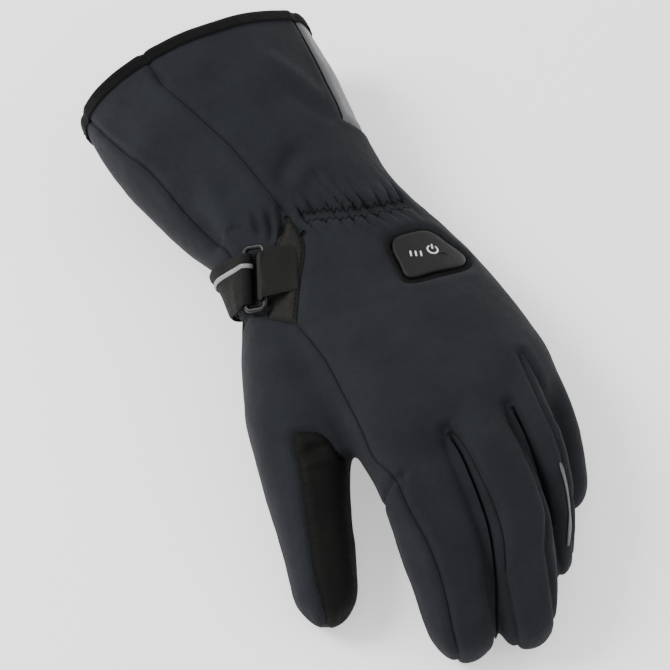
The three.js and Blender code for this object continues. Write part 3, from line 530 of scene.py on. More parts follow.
def full(value):
    """Sine or cosine of an oval with fuller shoulders than an ellipse."""
    return np.sign(value) * np.abs(value) ** (2 / DIGIT_SQUARE)


def digit_rings(name):
    rows = np.array(DIGITS[name], float)
    dist = lengths(rows[:, :3])
    length = dist[-1]
    straight = length - TIP_LENGTH
    tip = straight + TIP_LENGTH * np.sin(np.linspace(0.08, 1, 14) * np.pi / 2)
    turns = np.linspace(0, 2 * np.pi, 48, endpoint=False)
    rings = []
    for s in np.concatenate([np.linspace(0, straight, 40), tip]):
        centre, after, before = cubic(
            dist, rows[:, :3], [s, min(s + 0.5, length), max(s - 0.5, 0)])
        ahead = unit(after - before)
        side = unit(np.cross([0, 0, 1], ahead))
        above = np.cross(ahead, side)
        end = max(0.0, (s - straight) / TIP_LENGTH)
        round_end = max((1 - min(end, 1) ** 2.3) ** (1 / 2.3), 0.06)
        wide, deep = cubic(dist, rows[:, 3:], s) * round_end
        rings.append(centre + np.outer(full(np.cos(turns)) * wide, side)
                     + np.outer(full(np.sin(turns)) * deep, above))
    return rings


def web_rings(name):
    one, other = name.split()
    start, end, share = WEBS[name]
    turns = np.linspace(0, 2 * np.pi, 32, endpoint=False)
    rings = []
    for y in np.linspace(start, end, 28):
        x1, z1, w1, d1 = lane(one, y)
        x2, z2, w2, d2 = lane(other, y)
        left, right = x1 + 0.4 * w1, x2 - 0.4 * w2
        top = min(z1 + share * d1, z2 + share * d2)
        low = max(z1 - 0.5 * d1, z2 - 0.5 * d2, 4)
        along = 2 * (y - start) / (end - start) - 1
        shrink = max((1 - abs(along) ** 8) ** 0.25, 0.1)
        rings.append(np.stack([
            (left + right) / 2 + full(np.cos(turns)) * (right - left) / 2 * shrink,
            np.full(len(turns), y),
            (top + low) / 2 + full(np.sin(turns)) * (top - low) / 2 * shrink], axis=1))
    return rings


def fbm(points, scale, seed, octaves=2):
    """Smooth noise about 0 at points, with its largest waves scale millimetres long."""
    out = np.empty(len(points))
    move = Vector((seed * 17.3, seed * -9.1, seed * 5.7))
    for n, p in enumerate((points / scale).tolist()):
        v = Vector(p) + move
        out[n] = noise.noise(v) + (0.5 * noise.noise(v * 2.1) if octaves > 1 else 0)
    return out


GATHER = spline([(4, 54.5), (10, 50.9), (19.6, 48.3), (28.5, 44.5), (37.9, 41.5), (47.9, 39.5),
                 (57.6, 38.7), (66, 39)], 2.0)


def shape_skin(verts, tris):
    """Folds, gathers and dents of the cloth, as moves along the normals."""
    normal = vertex_normals(verts, tris)
    plan = verts[:, :2]
    x, y, z = verts.T
    top = smoothstep(z - side_height(plan), -4, 10)
    move = 0.8 * fbm(verts, 36, 1) + 0.25 * fbm(verts, 13, 2)

    # Elastic at the back of the wrist: a waist with short ruffles across it.
    dist, share = near_line(plan, GATHER)
    across = np.where(y > np.interp(x, GATHER[:, 0], GATHER[:, 1]), 1.0, -1.0)
    held = np.exp(-(dist / 5.5) ** 2) * top * smoothstep(share, 0.06, 0.14) * (
        1 - smoothstep(share, 0.93, 1))
    phase = x / 6.4 + 0.42 * fbm(verts, 14, 5, 1) + 0.03 * across * dist
    ridge = np.abs(np.sin(np.pi * phase)) ** 0.8 - 0.6
    span = np.where(across > 0, 13.0, 8.0) * (1 + 0.5 * fbm(verts, 16, 7, 1))
    reach = np.exp(-(dist / span) ** 2) * top * (1 - smoothstep(share, 0.96, 1)) * smoothstep(
        share, 0.06, 0.13)
    strength = 1 + 0.7 * fbm(verts, 22, 9, 1)
    move += -2.2 * held + 5.0 * strength * ridge * reach * (0.35 + 0.65 * smoothstep(dist, 1, 4.5))

    # Soft folds of the gauntlet.
    for line, depth, width in (
            ([(34.6, 140), (44, 126), (50, 114.7), (59.3, 100.6)], 0.9, 5.0),
            ([(38, 118), (46, 104), (56, 92)], -1.0, 5.0),
            ([(30.8, 83.8), (18.6, 78.7), (8.8, 67)], -1.7, 5.0),
            ([(12, 64), (22, 70), (36, 74)], 1.0, 4.0),
            ([(-33.5, 92), (-31, 80), (-28.4, 67.5), (-26.5, 56)], -2.6, 3.4),
            ([(-20, 96), (-20, 78), (-21, 60)], 1.2, 5.0),
            ([(-16, 150), (-13.5, 139)], -1.0, 2.2),
            ([(-2, 62), (-5, 53), (-9, 47)], -2.2, 1.8),
            ([(5, 62), (1, 53), (-3, 46)], -2.2, 1.8),
            ([(-9, 64), (-11, 55), (-15, 49)], -1.8, 1.8),
            ([(-52.6, -59), (-46.4, -60), (-33.5, -63)], 1.1, 1.8),
            ([(-50, -54), (-44, -54), (-34, -57)], -1.3, 2.6),
            ([(-24.5, -90), (-20, -92.5), (-14.5, -93)], -0.9, 1.8),
            ([(-20.5, -100), (-18.5, -95), (-16, -89)], -0.7, 1.6),
            ([(62, -60), (66.5, -80), (65, -98), (61, -112)], -0.5, 2.6),
    ):
        d, s = near_line(plan, spline(line, 2.0))
        fade = np.sin(np.pi * np.clip(s, 0.03, 0.97)) ** 0.6
        move += 1.5 * depth * np.exp(-(d / width) ** 2) * top * fade
    # The strap and the ring lie close on the glove.
    above = spline([on_section(v, t)[:2] for t, v in STRAP if 140 < t < 205], 2.0)
    under = spline([on_section(v, t)[:2] for t, v in STRAP if t > 195], 2.0)
    d = np.where(z > 30, near_line(plan, above)[0], near_line(plan, under)[0])
    calm = np.where(y < 10, 1.0, smoothstep(d, 12.5, 16.5))
    move = np.where(calm < 1, np.minimum(move, 0.25) * np.maximum(calm, 0.15), move)
    # Flat where it rests.
    move *= smoothstep(z, 0.5, 6)
    return verts + normal * move[:, None]


def build_skin():
    parts = [tube(trunk_rings())] + [tube(digit_rings(name)) for name in DIGITS]
    parts += [tube(web_rings(name)) for name in WEBS]
    source = make_object("skin source", *joined(parts))
    outward(source)
    mod = source.modifiers.new("voxels", "REMESH")
    mod.mode = "VOXEL"
    mod.voxel_size = VOXEL * MM
    mod.use_smooth_shade = True
    applied(source)
    verts, tris = arrays(source)
    bpy.data.objects.remove(source)
    verts = relax(verts, tris, 8, back=0.51)
    x, y, z = verts.T
    root = smoothstep(-y, 34, 52) * (1 - 0.7 * smoothstep(-y, 80, 100)) * (z > 14)
    root = np.maximum(root, (1 - smoothstep(x, -32, -14)) * smoothstep(y, -84, -62)
                      * (1 - smoothstep(y, 20, 36)) * (z > 20))
    verts = relax(verts, tris, 36, weight=root)
    verts = shape_skin(verts, tris)
    verts[:, 2] = np.maximum(verts[:, 2], 0.0)
    return verts, tris


# Cutting the skin into panels.
def plan_values(curve, verts, ends=True):
    """Distance of the upper vertices from a plan curve, positive to its left, else blank."""
    plan = verts[:, :2]
    lo, hi = curve.min(axis=0) - 6, curve.max(axis=0) + 6
    close = ((plan > lo) & (plan < hi)).all(axis=1) & (verts[:, 2] > side_height(plan) - 4)
    dist, side, place = nearest(plan[close], curve)
    past = ends & ((place <= 0) | (place >= len(curve) - 1))
    out = np.full(len(verts), np.nan)
    out[close] = np.where(past, np.nan, dist * side)
    return out


def wrist_seam(points):
    """y of the seam between palm and cuff on the underside."""
    return 32 + 0.06 * points[:, 0]


BUTTON_LINE = around_button(0.0)
BORDER_LINE = around_button(2.7)


def cut_skin(verts, tris):
    """Cuts the skin along every seam, so that the panels' edges run smoothly."""
    verts, tris = split(verts, tris, verts[:, 1] - RIM_Y, 6.0)
    tris = tris[verts[tris][:, :, 1].mean(axis=1) < RIM_Y]
    verts, tris = split(verts, tris, verts[:, 2] - side_height(verts[:, :2]))
    for line in [*CURVES.values(), *(edge for pair in STRIP_EDGES.values() for edge in pair)]:
        verts, tris = split(verts, tris, plan_values(line, verts))
    for line in (BUTTON_LINE, BORDER_LINE):
        closed = np.vstack([line, line[:1]])
        verts, tris = split(verts, tris, plan_values(closed, verts, ends=False))
    value = verts[:, 1] - wrist_seam(verts)
    below = verts[:, 2] < side_height(verts[:, :2]) + 0.01
    return split(verts, tris, np.where(below | (verts[:, 0] < -30), value, np.nan))


def carve(verts, tris, points, depth, lost):
    """Cuts a narrow gap into the skin along plan points."""
    line = spline(points)
    for aside in (0, SLIT_HALF, -SLIT_HALF):
        verts, tris = split(verts, tris, plan_values(line, verts) + aside)
    away = np.nan_to_num(np.abs(plan_values(line, verts, ends=False)), nan=9.0)
    place = near_line(verts[:, :2], line)[1]
    verts[:, 2] -= (depth * np.clip(1 - away / SLIT_HALF, 0, 1) * smoothstep(place, 0, 0.05)
                    * smoothstep(verts[:, 2], 8, 18)
                    * (1 - lost * smoothstep(place, 0.45, 0.75)))
    return verts, tris


def label_panels(verts, tris):
    """Name of the panel that each triangle belongs to."""
    centre = verts[tris].mean(axis=1)
    plan = centre[:, :2]
    c = CURVES
    wrist_part = c["wrist_thumb"][:len(spline(SEAMS["wrist_thumb"][:2]))]
    outlines = {
        "gauntlet_gusset": [c["back_gusset"], c["patch_left"], wrist_part,
                            c["gusset_under"][::-1]],
        "wrist_patch": [c["back_patch"], c["patch_end"][::-1], c["patch_left"][::-1]],
        "thumb_side_panel": [c["wrist_thumb"][::-1], c["patch_end"], c["back_thumb"],
                             c["cleft"], [[-38, -200], [-FAR, -200]]],
        "index_side_panel": [c["back_index"], [[-70, -200], [-38, -95]], c["cleft"][::-1]],
        "gauntlet_reflective_panel": [c["reflective"], c["reflective_end"], [[120, 172]]],
        "thumb_leather_panel": [c["leather"], [[-44, -200], [-36, -95]]],
        "gauntlet_under_panel": [c["gusset_under"], [[-FAR, 24.6], [-FAR, 172]]],
    }
    within = {name: inside(plan, np.concatenate(runs)) for name, runs in outlines.items()}
    within["thumb_leather_panel"] &= within["thumb_side_panel"] & ~within["index_side_panel"]
    names = np.full(len(tris), "back_panel", dtype=object)
    for name in list(outlines)[:-1]:
        names[within[name]] = name
    for name, (left, right) in STRIP_EDGES.items():
        hit = inside(plan, np.concatenate([left, right[::-1]])) & (names == "back_panel")
        names[hit] = "fourchette_" + name.replace(" ", "_")
    high = centre[:, 2] > 30
    names[inside(plan, BORDER_LINE) & high] = "button_border"
    names[inside(plan, BUTTON_LINE) & high] = "under the button"
    lower = centre[:, 2] < side_height(plan)
    cuff = plan[:, 1] > wrist_seam(plan)
    names[within["gauntlet_under_panel"] | (lower & cuff)] = "gauntlet_under_panel"
    names[lower & ~cuff] = "palm_panel"
    return names


def groove(verts, tris, labels):
    """Presses the cloth in along the seams, where the edges of two panels turn inward."""
    code = np.unique(labels, return_inverse=True)[1]
    first, last = np.full(len(verts), code.max()), np.zeros(len(verts), int)
    for k in range(3):
        np.minimum.at(first, tris[:, k], code)
        np.maximum.at(last, tris[:, k], code)
    border = verts[first < last].tolist()
    tree = KDTree(len(border))
    for n, p in enumerate(border):
        tree.insert(p, n)
    tree.balance()
    dist = np.array([tree.find(p)[2] for p in verts.tolist()])
    press = SEAM_DEPTH * np.exp(-(dist / SEAM_SPREAD) ** 2)
    swell = 0.35 * np.exp(-((dist - 4.5) / 2.2) ** 2)
    lift = smoothstep(verts[:, 2], 0.5, 5)
    moved = verts + vertex_normals(verts, tris) * ((swell - press) * lift)[:, None]
    moved[:, 2] = np.maximum(moved[:, 2], 0)
    return moved


skin_verts, skin_tris = cut_skin(*build_skin())
skin_verts = groove(skin_verts, skin_tris, label_panels(skin_verts, skin_tris))
for points, depth, lost in SLITS.values():
    skin_verts, skin_tris = carve(skin_verts, skin_tris, points, depth, lost)
labels = label_panels(skin_verts, skin_tris)
skin_tree = BVHTree.FromPolygons(skin_verts.tolist(), skin_tris.tolist())


# Materials.
def srgb(color):
    return tuple(((c / 255 + 0.055) / 1.055) ** 2.4 if c > 10 else c / 255 / 12.92 for c in color)


def feed(node, values):
    """Sets the sockets of a node from numbers, or links other sockets to them."""
    for key, value in values.items():
        if isinstance(value, bpy.types.NodeSocket):
            node.id_data.links.new(value, node.inputs[key])
        else:
            node.inputs[key].default_value = value


RELIEF = {"cloth": 0.00012, "knit": 0.00035, "webbing": 0.00025, "leather": 0.00022,
          "rubber": 0.00008}
PITCH = {"cloth": 1500, "knit": 520, "webbing": 640}


def material(name, color, rough, kind, sheen, gloss, bump, grain, vary):
    """Look of a piece: tone, roughness and relief vary with noise, weave or leather cells."""
    mat = bpy.data.materials.new(name)
    mat.use_nodes = True

    def add(kind, output, values, **options):
        node = mat.node_tree.nodes.new("ShaderNode" + kind)
        for key, value in options.items():
            setattr(node, key, value)
        feed(node, values)
        return node.outputs[output]

    place = add("TexCoord", "Object", {})

    def grains(scale, detail=3.0):
        return add("TexNoise", "Fac", {"Scale": scale, "Detail": detail, "Roughness": 0.55,
                                       "Vector": place})

    def ramp(source, out_low, out_high, low=0.3, high=0.7):
        return add("MapRange", "Result", {"Value": source, "From Min": low, "From Max": high,
                                          "To Min": out_low, "To Max": out_high})

    def both(operation, one, two):
        return add("Math", "Value", {0: one, 1: two}, operation=operation)

    fine = grains(2600 * grain, 2)
    tone = both("MULTIPLY", ramp(grains(38), 1 - vary, 1 + vary),
                ramp(fine, 1 - 0.6 * vary, 1 + 0.6 * vary))
    if kind == "leather":
        cells = add("TexVoronoi", "Distance", {"Scale": 900 * grain, "Vector": place},
                    feature="DISTANCE_TO_EDGE")
        relief = both("ADD", ramp(cells, 0, 1, 0, 0.25), both("MULTIPLY", fine, 0.5))
    elif kind == "rubber":
        relief = both("ADD", both("MULTIPLY", fine, 0.6), grains(700, 2))
    else:
        waves = {"Scale": PITCH[kind] * grain, "Distortion": 1.2 if kind == "knit" else 0.5,
                 "Detail Scale": 2, "Vector": place}
        weave = [add("TexWave", "Fac", waves, bands_direction=axis) for axis in "XY"]
        relief = both("ADD", both("MULTIPLY", *weave), both("MULTIPLY", fine, 0.8))
    feed(mat.node_tree.nodes["Principled BSDF"], {
        "Base Color": add("VectorMath", "Vector", {0: srgb(color), "Scale": tone},
                          operation="SCALE"),
        "Roughness": ramp(grains(420 * grain), rough - 0.07, rough + 0.07),
        "Normal": add("Bump", "Normal", {"Strength": bump, "Distance": RELIEF[kind],
                                         "Height": relief}),
        "Specular IOR Level": gloss,
        "Sheen Weight": sheen,
        "Sheen Roughness": 0.4,
    })
    return mat


# Looks: name, colour, roughness, kind, sheen, gloss, bump, grain, variation of tone.
LOOKS = {
    "shell": ("shell softshell", (31, 33, 37), 0.85, "cloth", 0.04, 0.12, 0.5, 1, 0.16),
    "strip": ("strip softshell", (29, 31, 35), 0.86, "cloth", 0.03, 0.11, 0.5, 1, 0.16),
    "patch": ("patch leather", (24, 24, 22), 0.68, "leather", 0, 0.16, 0.35, 1.3, 0.16),
    "leather": ("palm leather", (14, 14, 13), 0.7, "leather", 0, 0.1, 0.5, 1, 0.16),
    "reflective": ("reflective cloth", (84, 85, 87), 0.5, "cloth", 0, 0.4, 0.3, 1, 0.06),
    "binding": ("binding knit", (13, 13, 14), 0.92, "knit", 0.05, 0.1, 0.9, 1, 0.16),
    "recess": ("button recess", (20, 20, 21), 0.85, "cloth", 0, 0.1, 0.3, 1, 0.16),
    "rubber": ("button rubber", (26, 26, 26), 0.55, "rubber", 0, 0.2, 0.25, 1, 0.08),
    "webbing": ("strap webbing", (19, 19, 18), 0.8, "webbing", 0, 0.15, 0.7, 1, 0.16),
    "piping": ("piping", (118, 120, 121), 0.4, "rubber", 0, 0.4, 0.15, 1, 0.06),
    "ring": ("ring plastic", (12, 12, 12), 0.36, "rubber", 0, 0.3, 0.2, 1, 0.08),
    "lining": ("lining fleece", (12, 12, 13), 0.95, "knit", 0.05, 0.1, 0.8, 1.4, 0.16),
    # The thread look also colours the dark lines along the seams, which are partly real thread and
    # partly painted shade of the seam grooves.
    "thread": ("thread", (9, 9, 10), 0.75, "rubber", 0, 0.15, 0.3, 1, 0.16),
    "print": ("button print", (205, 206, 207), 0.5, "rubber", 0, 0.3, 0.1, 1, 0.04),
}
MATERIALS = {look: material(*row) for look, row in LOOKS.items()}


def dress(obj, slot, *names):
    for name in names:
        obj.data.materials.append(MATERIALS[name])
    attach(obj, "root")


# Panels of the skin: node, name of the piece, slot and look.
PANELS = {
    "back_panel": ("back_shell", "shell_cloth", "shell"),
    "gauntlet_gusset": ("gusset_shell", "shell_cloth", "shell"),
    "gauntlet_under_panel": ("under_shell", "shell_cloth", "shell"),
    "gauntlet_reflective_panel": ("reflective_shell", "reflective_cloth", "reflective"),
    "wrist_patch": ("patch_shell", "patch_cloth", "patch"),
    "thumb_side_panel": ("thumb_side_shell", "shell_cloth", "shell"),
    "thumb_leather_panel": ("thumb_leather_shell", "palm_leather", "leather"),
    "index_side_panel": ("index_side_shell", "shell_cloth", "shell"),
    "palm_panel": ("palm_shell", "palm_leather", "leather"),
    "fourchette_index_middle": ("strip_index_middle", "shell_cloth", "strip"),
    "fourchette_middle_ring": ("strip_middle_ring", "shell_cloth", "strip"),
    "fourchette_ring_little": ("strip_ring_little", "shell_cloth", "strip"),
    "button_border": ("button_recess", "button_recess", "recess"),
}
for node, (name, slot, look) in PANELS.items():
    used, faces = np.unique(skin_tris[labels == node], return_inverse=True)
    piece = make_object(name, skin_verts[used], faces.reshape(-1, 3).tolist())
    solid = piece.modifiers.new("wall", "SOLIDIFY")
    solid.thickness = (STRIP_WALL if node.startswith("fourchette") else WALL) * MM
    solid.offset = -1
    solid.material_offset = 1
    solid.material_offset_rim = 0
    dress(piece, slot, look, "lining")
    applied(piece)
    piece.data.set_sharp_from_angle(angle=math.radians(48))
    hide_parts(node)


# Strips and threads that lie on a surface.
def sweep(points, normals, wide, high, sides=8, looped=False):
    """Tube of oval section along points, flat against what the normals stand on."""
    points = np.asarray(points, float)
    if looped:
        ahead = np.roll(points, -1, 0) - np.roll(points, 1, 0)
    else:
        ahead = np.gradient(points, axis=0)
    ahead = unit(ahead)
    side = unit(np.cross(normals, ahead))
    above = np.cross(ahead, side)
    turns = np.linspace(0, 2 * np.pi, sides, endpoint=False)
    wide = np.broadcast_to(wide, len(points))
    high = np.broadcast_to(high, len(points))
    rings = [p + np.outer(np.cos(turns) * w, a) + np.outer(np.sin(turns) * h, b)
             for p, w, h, a, b in zip(points, wide, high, side, above)]
    return tube(rings, looped)


def on_skin(points, lift=0.0):
    """The plan points that hit the skin, lifted off it, and its normals there."""
    places, normals = [], []
    for x, y in points:
        hit, normal, _, _ = skin_tree.ray_cast(Vector((x, y, 200)), Vector((0, 0, -1)))
        if hit is not None:
            normal = -normal if normal.z < 0 else normal
            places.append(hit + normal * lift)
            normals.append(normal)
    return np.array(places), np.array(normals)


def walk(line, step):
    """Points at even steps along a line."""
    line, dist = np.asarray(line, float), lengths(line)
    at = np.arange(0, dist[-1], step)
    return np.stack([np.interp(at, dist, column) for column in line.T], axis=1)


def beside(line, distance):
    """A plan line moved to its left."""
    run = unit(np.gradient(line, axis=0))
    return line + distance * np.stack([-run[:, 1], run[:, 0]], axis=1)


def stitches(line, length=2.0, pitch=3.0, half=0.24):
    """A row of short threads along a plan line on the skin."""
    places = walk(line, 0.5)
    per, gap = int(length / 0.5), int(pitch / 0.5)
    parts = []
    for start in range(0, len(places) - per, gap):
        points, normals = on_skin(places[start:start + per + 1], 0.05)
        if len(points) == per + 1:
            bow = np.sin(np.linspace(0, np.pi, len(points)))[:, None] * 0.12
            parts.append(sweep(points + normals * (bow - 0.08), normals, half, half * 0.8, 5))
    return parts


def finish_piece(name, parts, slot="shell_cloth", look="thread"):
    """One closed piece made of parts, with its look."""
    piece = make_object(name, *joined(parts))
    outward(piece)
    dress(piece, slot, look)
    piece.data.set_sharp_from_angle(angle=math.radians(55))
    return piece


finish_piece("stitches_patch", stitches(beside(CURVES["back_patch"], -1.6))
             + stitches(beside(CURVES["patch_left"], 1.6)))
finish_piece("stitches_leather", stitches(beside(CURVES["leather"][:-24], 1.5)))
# Very dark thread tubes along the main seams: partly real seam thread, partly painted shade in the
# seam grooves.
dark_seams = [CURVES["back_gusset"], CURVES["gusset_under"][:-12], CURVES["back_thumb"],
              CURVES["back_index"][:-26], CURVES["back_patch"], CURVES["patch_left"],
              CURVES["patch_end"], CURVES["reflective"]]
dark_seams += [STRIP_EDGES["index middle"][1][2:-46], STRIP_EDGES["middle ring"][1][2:-80]]
seam_parts = []
for line in dark_seams:
    points, normals = on_skin(walk(line[line[:, 1] < RIM_Y - 2], 0.8), 0.02)
    seam_parts.append(sweep(points, normals, 0.26, 0.16, 6))
finish_piece("seam_threads_and_painted_shade", seam_parts)
recess_row = around_button(1.5)
finish_piece("stitches_button", stitches(np.vstack([recess_row, recess_row[:1]]), 1.5, 2.5),
             "button_recess")


def zigzag(line, width, pitch):
    """Plan points that swing to both sides of a line."""
    places = walk(line, pitch / 2)
    swing = np.where(np.arange(len(places)) % 2 == 0, 1, -1)[:, None]
    return walk(beside(places, swing * width / 2), 0.6)


def thread_run(line, half, lift=0.12):
    points, normals = on_skin(line, lift)
    return sweep(smoothed(points, 2), normals, half, half * 0.8, 6)


finish_piece("elastic_stitches", [
    thread_run(zigzag(beside(GATHER[start:-1], aside), 2.6, 3.2), 0.3)
    for start, aside in ((3, 2.4), (4, -2.4))])

# Bar tacks across the tops of the gaps between the fingers.
tacks = []
for points, _, _ in SLITS.values():
    x, y = points[0]
    for step in (0.0, 0.6, 1.2):
        line = np.stack([np.linspace(x - 1.2, x + 1.2, 7), np.full(7, y + step)], axis=1)
        tacks.append(thread_run(line, 0.26, 0.08))
finish_piece("bar_tacks", tacks)

# Reflective strip on the outer side of the ring finger.
y = np.linspace(-119, -148, 30)
x, _, wide, _ = lane("ring", y)
edge = np.stack([x + np.linspace(0.35, 0.8, 30) * wide, y], axis=1)
points, normals = (smoothed(rows, 12) for rows in on_skin(edge, 0.5))
taper = np.sin(np.linspace(0.06, np.pi - 0.06, len(points))) ** 0.4
finish_piece("ring_finger_strip", [sweep(points, normals, 1.7 * taper, 0.5 * taper, 12)],
             "reflective_cloth", "reflective")


# Binding tape folded over the rim of the cuff.
def binding_rings():
    rings = []
    for turn in np.arange(0, 360, 2.5):
        near = on_section(RIM_Y - 3, turn)
        cx, cz = section(RIM_Y - 3)[:2]
        ray = unit(near - np.array([cx, RIM_Y - 3, cz]))
        hit = skin_tree.ray_cast(Vector(near + ray * 12), Vector(-ray))[0]
        proud = (np.array(hit) - near) @ ray if hit is not None else 0.0
        angle = math.radians(turn)
        pucker = 1.5 + 0.16 * math.sin(angle * 61) + 0.12 * math.sin(angle * 23)
        profile = [(0.35, -4.4), (1.15, -4.5), (pucker, -3.4), (1.3, -2.0), (pucker, -0.6),
                   (1.3, 0.8), (0.4, 1.7), (-1.2, 1.95), (-2.8, 1.7), (-4.0, 0.9), (-4.5, -0.8),
                   (-4.5, -3.4), (-4.2, -4.5), (-3.4, -4.4), (-3.35, 0.3), (0.35, 0.3)]
        rings.append([on_section(RIM_Y + along, turn, proud + out) for out, along in profile])
    return rings


binding = finish_piece("rim_binding", [tube(binding_rings(), looped=True)],
                       "binding_tape", "binding")
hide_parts("cuff_binding")


# Button pad.
def body_top(x, y):
    """Height of the glove's back over a plan point, without folds."""
    points = on_section(y, np.arange(16, 165, 1.5))
    return float(np.interp(x, points[::-1, 0], points[::-1, 2]))


def pad_rings():
    outline = around_button(-0.35)
    middle = outline.mean(axis=0)
    rings = []
    for share, lift in ((0.03, 1.15), (0.25, 1.15), (0.5, 1.15), (0.7, 1.14), (0.82, 1.12),
                        (0.9, 1.08), (0.945, 1.0), (0.972, 0.82), (0.99, 0.5), (1.0, 0.0),
                        (1.0, -2.4), (0.03, -2.4)):
        plan = middle + (outline - middle) * share
        rings.append(np.array([(x, y, body_top(x, y) + lift) for x, y in plan]))
    return rings


BUTTON_UP = 1.15
RIGHTWARD, UPWARD = np.array([0.93, -0.37]), np.array([0.37, 0.93])


def pad_stroke(points, half, lift=0.1, high=0.22):
    """Raised line on the button along plan points."""
    places, normals = [], []
    for x, y in walk(points, 0.25):
        places.append((x, y, body_top(x, y) + BUTTON_UP + lift))
        rise_x = body_top(x + 0.5, y) - body_top(x - 0.5, y)
        rise_y = body_top(x, y + 0.5) - body_top(x, y - 0.5)
        normals.append(unit(np.array([-rise_x, -rise_y, 1.0])))
    taper = np.sin(np.linspace(0.25, np.pi - 0.25, len(places))) ** 0.25
    return sweep(places, normals, half * taper, high * taper)


def arc(middle, radius, start, end):
    angles = np.radians(np.linspace(start, end, 40))
    return middle + radius * (np.outer(np.cos(angles), RIGHTWARD)
                              + np.outer(np.sin(angles), UPWARD))


emboss = pad_stroke(arc([60.3, 0.6], 3.4, 40, 140), 0.35, 0.0, 0.4)
pad = finish_piece("heater_button", [tube(pad_rings()), emboss], "button_rubber", "rubber")
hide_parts("button_pad")

# Three level bars and a plain on and off sign.
bars_middle, sign_middle = np.array([48.9, 7.3]), np.array([58.0, 6.8])
marks = [pad_stroke([bars_middle + RIGHTWARD * step - UPWARD * 1.7,
                     bars_middle + RIGHTWARD * step + UPWARD * 1.7], 0.48)
         for step in (-2.5, 0, 2.5)]
marks += [pad_stroke(arc(sign_middle, 2.5, 122, 418), 0.5),
          pad_stroke([sign_middle + UPWARD * 0.3, sign_middle + UPWARD * 3.4], 0.5)]
finish_piece("button_marks", marks, "button_rubber", "print")


# Strap, ring and keeper at the wrist.
LOW_HEIGHT = PIECE_GAP + STRAP_THICK / 2
BAR_HEIGHT = PIECE_GAP + STRAP_THICK + PIECE_GAP + WIRE_RADIUS
REST_HEIGHT = LOW_HEIGHT + STRAP_THICK + PIECE_GAP
WRAP_RADIUS = WIRE_RADIUS + PIECE_GAP + STRAP_THICK / 2
BAR_REACH = STRAP_WIDTH / 2 + RING_PLAY + 2 * WIRE_RADIUS
PART_DOWN = 0.4


def lay(point, offset):
    """Place on the glove near a point, moved out by an offset."""
    cx, cz, _, _, _, lean = section(point[1])
    turn = np.degrees(np.arctan2(point[2] - cz, point[0] - cx) - lean)
    return on_section(point[1], turn, offset)


def strap_frame(turn):
    """Middle of the strap, with the directions across it and out of the glove."""
    def at(angle):
        return on_section(cubic(STRAP[:, 0], STRAP[:, 1:], angle)[0], angle)

    middle = at(turn)
    ahead = unit(at(turn - 1) - at(turn + 1))
    cx, cz = section(middle[1])[:2]
    across = unit(np.cross(middle - np.array([cx, middle[1], cz]), ahead))
    return middle, across, unit(np.cross(ahead, across))


def turn_after(turn, distance):
    """Turn at a distance along the strap from another turn."""
    at, left = turn, abs(distance)
    step = -0.5 if distance > 0 else 0.5
    while left > 0.05:
        run = np.linalg.norm(strap_frame(at + step)[0] - strap_frame(at)[0])
        left -= min(run, left)
        at += step
    return at


def bar_over(frame, across):
    """Middle of a bar of the ring that clears the glove along its whole reach."""
    middle, out = lay(frame[0], BAR_HEIGHT), frame[2]
    reaches = (across * share * BAR_REACH for share in (-1, -0.5, 0, 0.5, 1))
    return middle + out * max(
        (lay(middle + reach, BAR_HEIGHT) - middle - reach) @ out for reach in reaches)


bar_frame = strap_frame(RING_TURN)
bar_ends = [lay(bar_frame[0] + bar_frame[1] * side * BAR_REACH, BAR_HEIGHT) for side in (1, -1)]
ring_across = unit(bar_ends[0] - bar_ends[1])
bar_middle = bar_over(bar_frame, ring_across)
ring_along = bar_over(strap_frame(turn_after(RING_TURN, RING_SPAN)), ring_across) - bar_middle
ring_along = unit(ring_along - ring_across * (ring_along @ ring_across))
second_middle = bar_middle + ring_along * RING_SPAN
ring_out = unit(np.cross(ring_along, ring_across))


def laid(frame, height, face=1):
    """Places across the strap and through it, where it lies on the glove."""
    middle, sideways, _ = frame
    return lambda across, level: lay(middle + sideways * across, height + face * level)


def turned(centre, angle, ahead):
    """Places across the strap and through it, where it turns round a bar of the ring."""
    return lambda across, level: (
        centre + ring_across * across + (WRAP_RADIUS - level)
        * (ring_along * ahead * math.cos(angle) + ring_out * math.sin(angle)))


SHARES = (-0.5, -0.485, -0.44, -0.36, -0.24, -0.12, 0, 0.12, 0.24, 0.36, 0.44, 0.485, 0.5)


def webbing(stations, width, thick, shift=0.0):
    """Webbing of even thickness with softly rounded edges."""
    rings = []
    for station in stations:
        ring = []
        for face in (1, -1):
            for share in SHARES[::face]:
                thin = 1 - 0.7 * smoothstep(abs(share), 0.45, 0.5)
                ring.append(station(share * width + shift, face * thick / 2 * float(thin)))
        rings.append(ring)
    return tube(rings)


def top_of(middle, frame):
    return (middle - lay(frame[0], 0)) @ frame[2] + WRAP_RADIUS


wrap_angles = np.linspace(-math.pi / 2, math.pi / 2, 13)
slope_turn = turn_after(RING_TURN, -SLOPE_LENGTH)
part_turn = turn_after(RING_TURN, -PART_DOWN * SLOPE_LENGTH)
strap_top = top_of(bar_middle, bar_frame)
tail = [laid(strap_frame(turn_after(RING_TURN, -share * SLOPE_LENGTH)),
             REST_HEIGHT + (1 - smoothstep(share, -0.25, 1)) * (strap_top - REST_HEIGHT), -1)
        for share in (0.3, 0.45, 0.6, 0.8)]
tail += [laid(strap_frame(turn), REST_HEIGHT, -1)
         for turn in np.linspace(slope_turn, TAIL_TURN, 25)]
strap_path = [laid(strap_frame(turn), LOW_HEIGHT + 0.12)
              for turn in np.linspace(STRAP_START, slope_turn, 65)]
strap_path.append(laid(strap_frame(part_turn), LOW_HEIGHT + 0.12))
strap_path += [turned(bar_middle, angle, 1) for angle in wrap_angles]
strap = finish_piece("strap", [webbing(strap_path + tail, STRAP_WIDTH, STRAP_THICK)],
                     "strap_webbing", "webbing")
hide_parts("wrist_strap")

